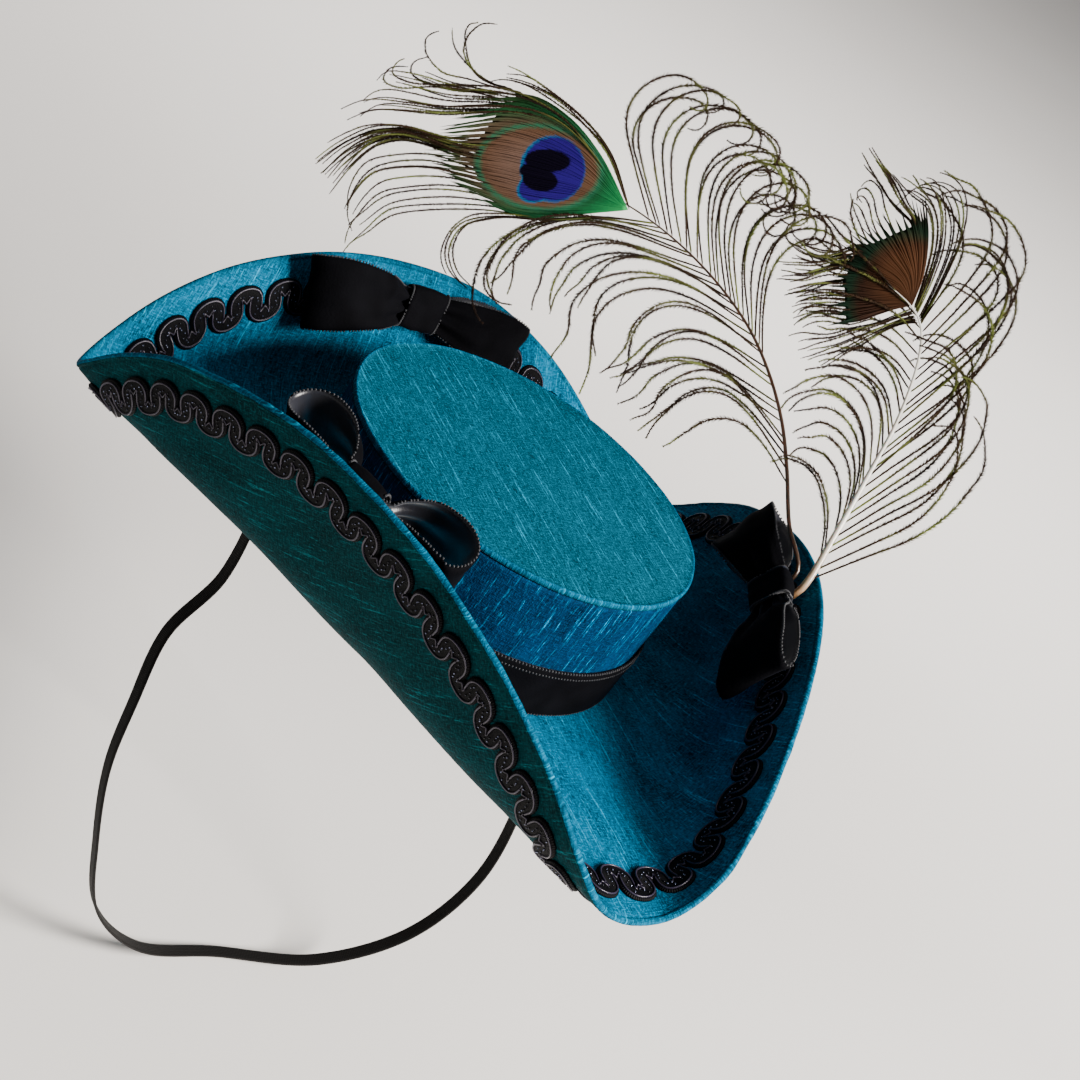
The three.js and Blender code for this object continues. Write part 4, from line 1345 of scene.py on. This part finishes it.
short_loose = (
    (7, ((42.0, 120.7), (40.6, 128.2), (37.2, 131.9), (33.8, 136.4), (31.1, 141.5), (27.0, 148.9),
         (23.6, 155.9)),
     ((43.7, 120.7), (43.4, 128.9), (39.9, 135.6), (37.2, 142.2), (33.8, 148.2), (28.3, 154.1))),
    (5, ((36.5, 120.7), (33.8, 125.2), (31.1, 132.6), (29.7, 140.7), (27.0, 143.7), (24.2, 141.5),
         (24.9, 135.6)),
     ((29.7, 117.8), (25.6, 121.5), (23.6, 125.9), (21.5, 132.6), (20.5, 137.8))),
    (15, ((29.7, 117.0), (22.9, 120.0), (15.4, 117.8), (9.2, 117.8), (3.1, 120.7), (0.3, 123.0)),
     ((27.0, 111.8), (20.1, 111.8), (10.6, 110.3), (2.4, 107.3), (-7.8, 105.8))),
    (6, ((27.0, 110.3), (20.1, 108.8), (14.7, 108.5), (7.2, 107.0), (0.3, 105.8)),
     ((24.2, 106.6), (17.4, 105.8), (10.6, 105.8), (3.8, 104.3), (-3.1, 102.1))),
    (15, ((24.2, 103.6), (17.4, 103.6), (10.6, 104.3), (3.8, 103.6), (-5.1, 101.5)),
     ((27.0, 94.0), (18.8, 92.1), (10.6, 94.0), (5.8, 92.9), (1.7, 88.8))),
    (9, ((40.0, 97.4), (34.4, 95.0), (27.0, 92.1), (18.8, 90.3), (10.6, 88.1), (2.4, 88.1), (-5.1, 85.8)),
     ((42.0, 92.4), (36.9, 91.9), (31.1, 89.6), (24.2, 85.4), (17.4, 81.4), (10.6, 77.6), (5.8, 75.4))),
    (7, ((40.6, 97.6), (44.8, 109.6), (47.4, 120.7), (47.4, 128.2), (45.4, 133.4), (41.3, 136.4),
         (37.2, 140.0), (33.8, 143.7)),
     ((41.2, 95.2), (47.6, 108.4), (51.5, 120.7), (52.2, 131.9), (50.2, 139.2), (46.8, 143.0),
         (43.4, 143.0), (37.9, 137.8))),
    (5, ((41.8, 93.6), (48.0, 105.4), (52.9, 117.8), (54.6, 128.2), (53.6, 135.6), (50.2, 141.5),
         (44.7, 143.0), (36.5, 136.4)),
     ((42.5, 91.0), (51.0, 107.0), (57.7, 120.7), (60.4, 131.9), (58.4, 140.0), (52.9, 143.7),
         (48.1, 143.7), (42.7, 140.7))),
)

put_long, long_courses = make_feather("long", feathers["long"])
add_barbs("long", long_courses, loose_barbs(long_loose, 31), put_long, 33)
put_short, short_courses = make_feather("short", feathers["short"])
add_barbs("short", short_courses, loose_barbs(short_loose, 32), put_short, 34)


# Eyes: flat barbs laid close over a thin leaf, running out from the shaft's end in a fan. Guides run from
# one edge of the fan to the other, and the barbs between two guides follow both and end in tufts.
leaf_start = 0.02
leaf_reach = 0.86
leaf_steps = 40
tuft_start = 0.64
tufts = 12


def make_eye(name, put, corner, centre, guides, count, seed, colours, width):
    """The leaf and the barbs of an eye, whose colours are laid round its centre."""
    scatter = random.Random(seed)
    paths = [
        (turn, smooth_course([Vector((x, y, 0)) for x, y in (corner, *spots)], 1.0))
        for turn, spots in guides
    ]

    def on_path(path, share):
        at = min(1.0, share) * (len(path) - 1)
        low = min(int(at), len(path) - 2)
        return path[low].lerp(path[low + 1], at - low)

    def on_fan(turn, share):
        low = max(j for j, (start, path) in enumerate(paths[:-1]) if start <= turn or j == 0)
        mix = (turn - paths[low][0]) / (paths[low + 1][0] - paths[low][0])
        return on_path(paths[low][1], share).lerp(on_path(paths[low + 1][1], share), mix)

    def from_centre(spot):
        return spot.x - centre[0], spot.y - centre[1]

    def leaf_place(u, v):
        ragged = 0.04 * rough(u * 14, seed, 0)
        spot = on_fan(u * 2 - 1, leaf_start + (leaf_reach + ragged) * (1 - abs(2 * v - 1)))
        spot.z = -0.12 if v in (0, 1) else (-0.25 if v > 0.5 else 0.0)
        return put(spot)

    def leaf_mark(u, v):
        return from_centre(on_fan(u * 2 - 1, leaf_start + leaf_reach * (1 - abs(2 * v - 1))))

    leaf = bmesh.new()
    laid_grid(leaf, leaf_steps, leaf_steps, leaf_place, leaf_mark)
    bmesh.ops.remove_doubles(leaf, verts=leaf.verts, dist=0.01 * mm)
    bmesh.ops.holes_fill(leaf, edges=[edge for edge in leaf.edges if edge.is_boundary])
    add_piece("feather_" + name + "_eye_leaf", leaf, "peacock_feather", colours)

    bm = bmesh.new()
    steps = 26
    for i in range(count):
        turn = min(1.0, max(-1.0, -1 + 2 * (i + scatter.uniform(-0.4, 0.4)) / (count - 1)))
        tuft = round(turn * tufts) / tufts
        ends = scatter.uniform(0.9, 1.16)
        lift = scatter.uniform(0.05, 0.3)
        wander = scatter.uniform(0, 100)
        course = []
        for step in range(steps + 1):
            share = step / steps * ends
            drawn = 0.8 * max(0.0, share - tuft_start) / (1.0 - tuft_start)
            spot = on_fan(turn + (tuft - turn) * min(0.85, drawn), share)
            sway = rough(share * 2.4, wander, 0) * share * 0.9
            if share > 1.0:
                spot = course[-1] * 2 - course[-2]
                sway = 0.0
            course.append(Vector((spot.x, spot.y + sway, lift)))

        def radii(u):
            return width * min(1.0, 0.25 + u * 2.5) * (1.0 - 0.75 * max(0.0, (u - 0.8) / 0.2)), 0.08

        add_rod(bm, course, 4, radii, put, lambda u, v: from_centre(at_share(course, u)))
    add_piece("feather_" + name + "_eye_barbs", bm, "peacock_feather", colours, weld=0.002)


long_guides = (
    (-1, ((-69.6, 123.4), (-81.3, 122.3), (-93.0, 122.6), (-103.0, 126.3))),
    (-0.6, ((-72.9, 126.3), (-86.3, 127.4), (-99.7, 130.3), (-111.4, 133.9))),
    (-0.2, ((-74.6, 132.1), (-89.6, 135.3), (-104.7, 139.0), (-117.1, 141.1))),
    (0.2, ((-74.6, 139.0), (-89.6, 144.8), (-104.7, 147.7), (-116.4, 147.7))),
    (0.6, ((-71.2, 145.5), (-84.6, 153.9), (-98.0, 157.5), (-110.4, 156.1))),
    (1, ((-65.6, 143.7), (-76.3, 157.2), (-88.0, 164.8), (-100.4, 166.2))),
)
make_eye("long", put_long, (-56.2, 124.6), (-82.1, 139.0), long_guides, 200, 21, long_eye_colours, 0.34)
short_guides = (
    (-1, ((43.4, 107.0), (45.4, 115.6), (46.2, 125.7), (45.9, 133.3))),
    (-0.6, ((42.3, 107.9), (43.0, 116.4), (42.5, 124.0), (41.1, 130.8))),
    (-0.2, ((39.2, 107.9), (35.7, 114.6), (31.8, 120.7), (28.7, 124.9))),
    (0.2, ((36.5, 107.0), (29.5, 112.9), (23.2, 117.3), (18.6, 120.7))),
    (0.6, ((34.9, 103.7), (26.3, 106.2), (19.4, 107.9), (13.9, 107.9))),
    (1, ((35.7, 97.3), (28.7, 95.3), (21.6, 92.8), (13.9, 91.4))),
)
make_eye("short", put_short, (39.9, 98.0), (42.7, 98.1), short_guides, 150, 22, short_eye_colours, 0.32)


# Strap: a flat woven elastic, 5 mm wide, sewn flat under each side of the brim. It hangs in one long loop
# below the hat, and leans a little forward.
strap_width = 5.0
strap_thickness = 1.0
strap_spread = 85.5
strap_drop = 176.0
strap_back = 24.0
strap_step = 2.5
strap_rows = (
    (0.79, 0.72, 0.172), (0.912, 0.54, 0.301), (0.982, 0.0, 0.415), (1.0, -0.375, 0.534),
    (0.936, -0.75, 0.676), (0.772, -0.83, 0.841), (0.444, -0.7, 0.96), (0.0, -0.42, 1.0),
)
sewn_end = ((-75.17, 24, -2.8), (-67.67, 24, -3.1), (-65.17, 24, -7.8))
right_half = [Vector(spot) for spot in sewn_end]
for out, back, down in strap_rows:
    right_half.append(Vector((-out * strap_spread, back * strap_back, -down * strap_drop)))
left_half = [Vector((-spot.x, spot.y, spot.z)) for spot in reversed(right_half[:-1])]

elastic, tree = new_material(
    "black_woven_elastic", Roughness=0.66, Sheen_Weight=0.04, Specular_IOR_Level=0.15,
)
ribs = bands(tree, "Y", 0.45)
picks = bands(tree, "X", 0.5, 0.6)
woven = add_node(tree, "ShaderNodeMath", {0: ribs, 1: picks}, operation="MULTIPLY").outputs[0]
dress(tree, mixed(tree, woven, "#040303", "#120f0d"), woven, 0.6, 0.2)

strap_course = smooth_course(right_half + left_half, strap_step)
strap_last = len(strap_course) - 1
strap_face = (
    (-0.5, 0.3), (-0.42, 0.5), (-0.25, 0.46), (0.0, 0.5), (0.25, 0.46), (0.42, 0.5), (0.5, 0.3),
)
strap_section = [*strap_face, *((-across, -lift) for across, lift in strap_face), strap_face[0]]


def strap_place(u, v):
    i = round(u * strap_last)
    run = (strap_course[min(i + 1, strap_last)] - strap_course[max(i - 1, 0)]).normalized()
    wide = (Vector((0, 1, 0)) - run * run.y).normalized()
    across, lift = at_share(strap_section, v)
    if i in (0, strap_last):
        across, lift = across * 0.98, 0.0
    spot = strap_course[i] + wide * across * strap_width + run.cross(wide) * lift * strap_thickness
    return spot * mm


strap_mesh = bmesh.new()
laid_grid(
    strap_mesh, strap_last, len(strap_section) - 1, strap_place,
    lambda u, v: (u * strap_last * strap_step, at_share(strap_section, v)[0] * strap_width),
)
strap = add_piece("elastic_strap_woven", strap_mesh, "black_elastic", elastic, weld=0.005)
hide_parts("elastic_strap")
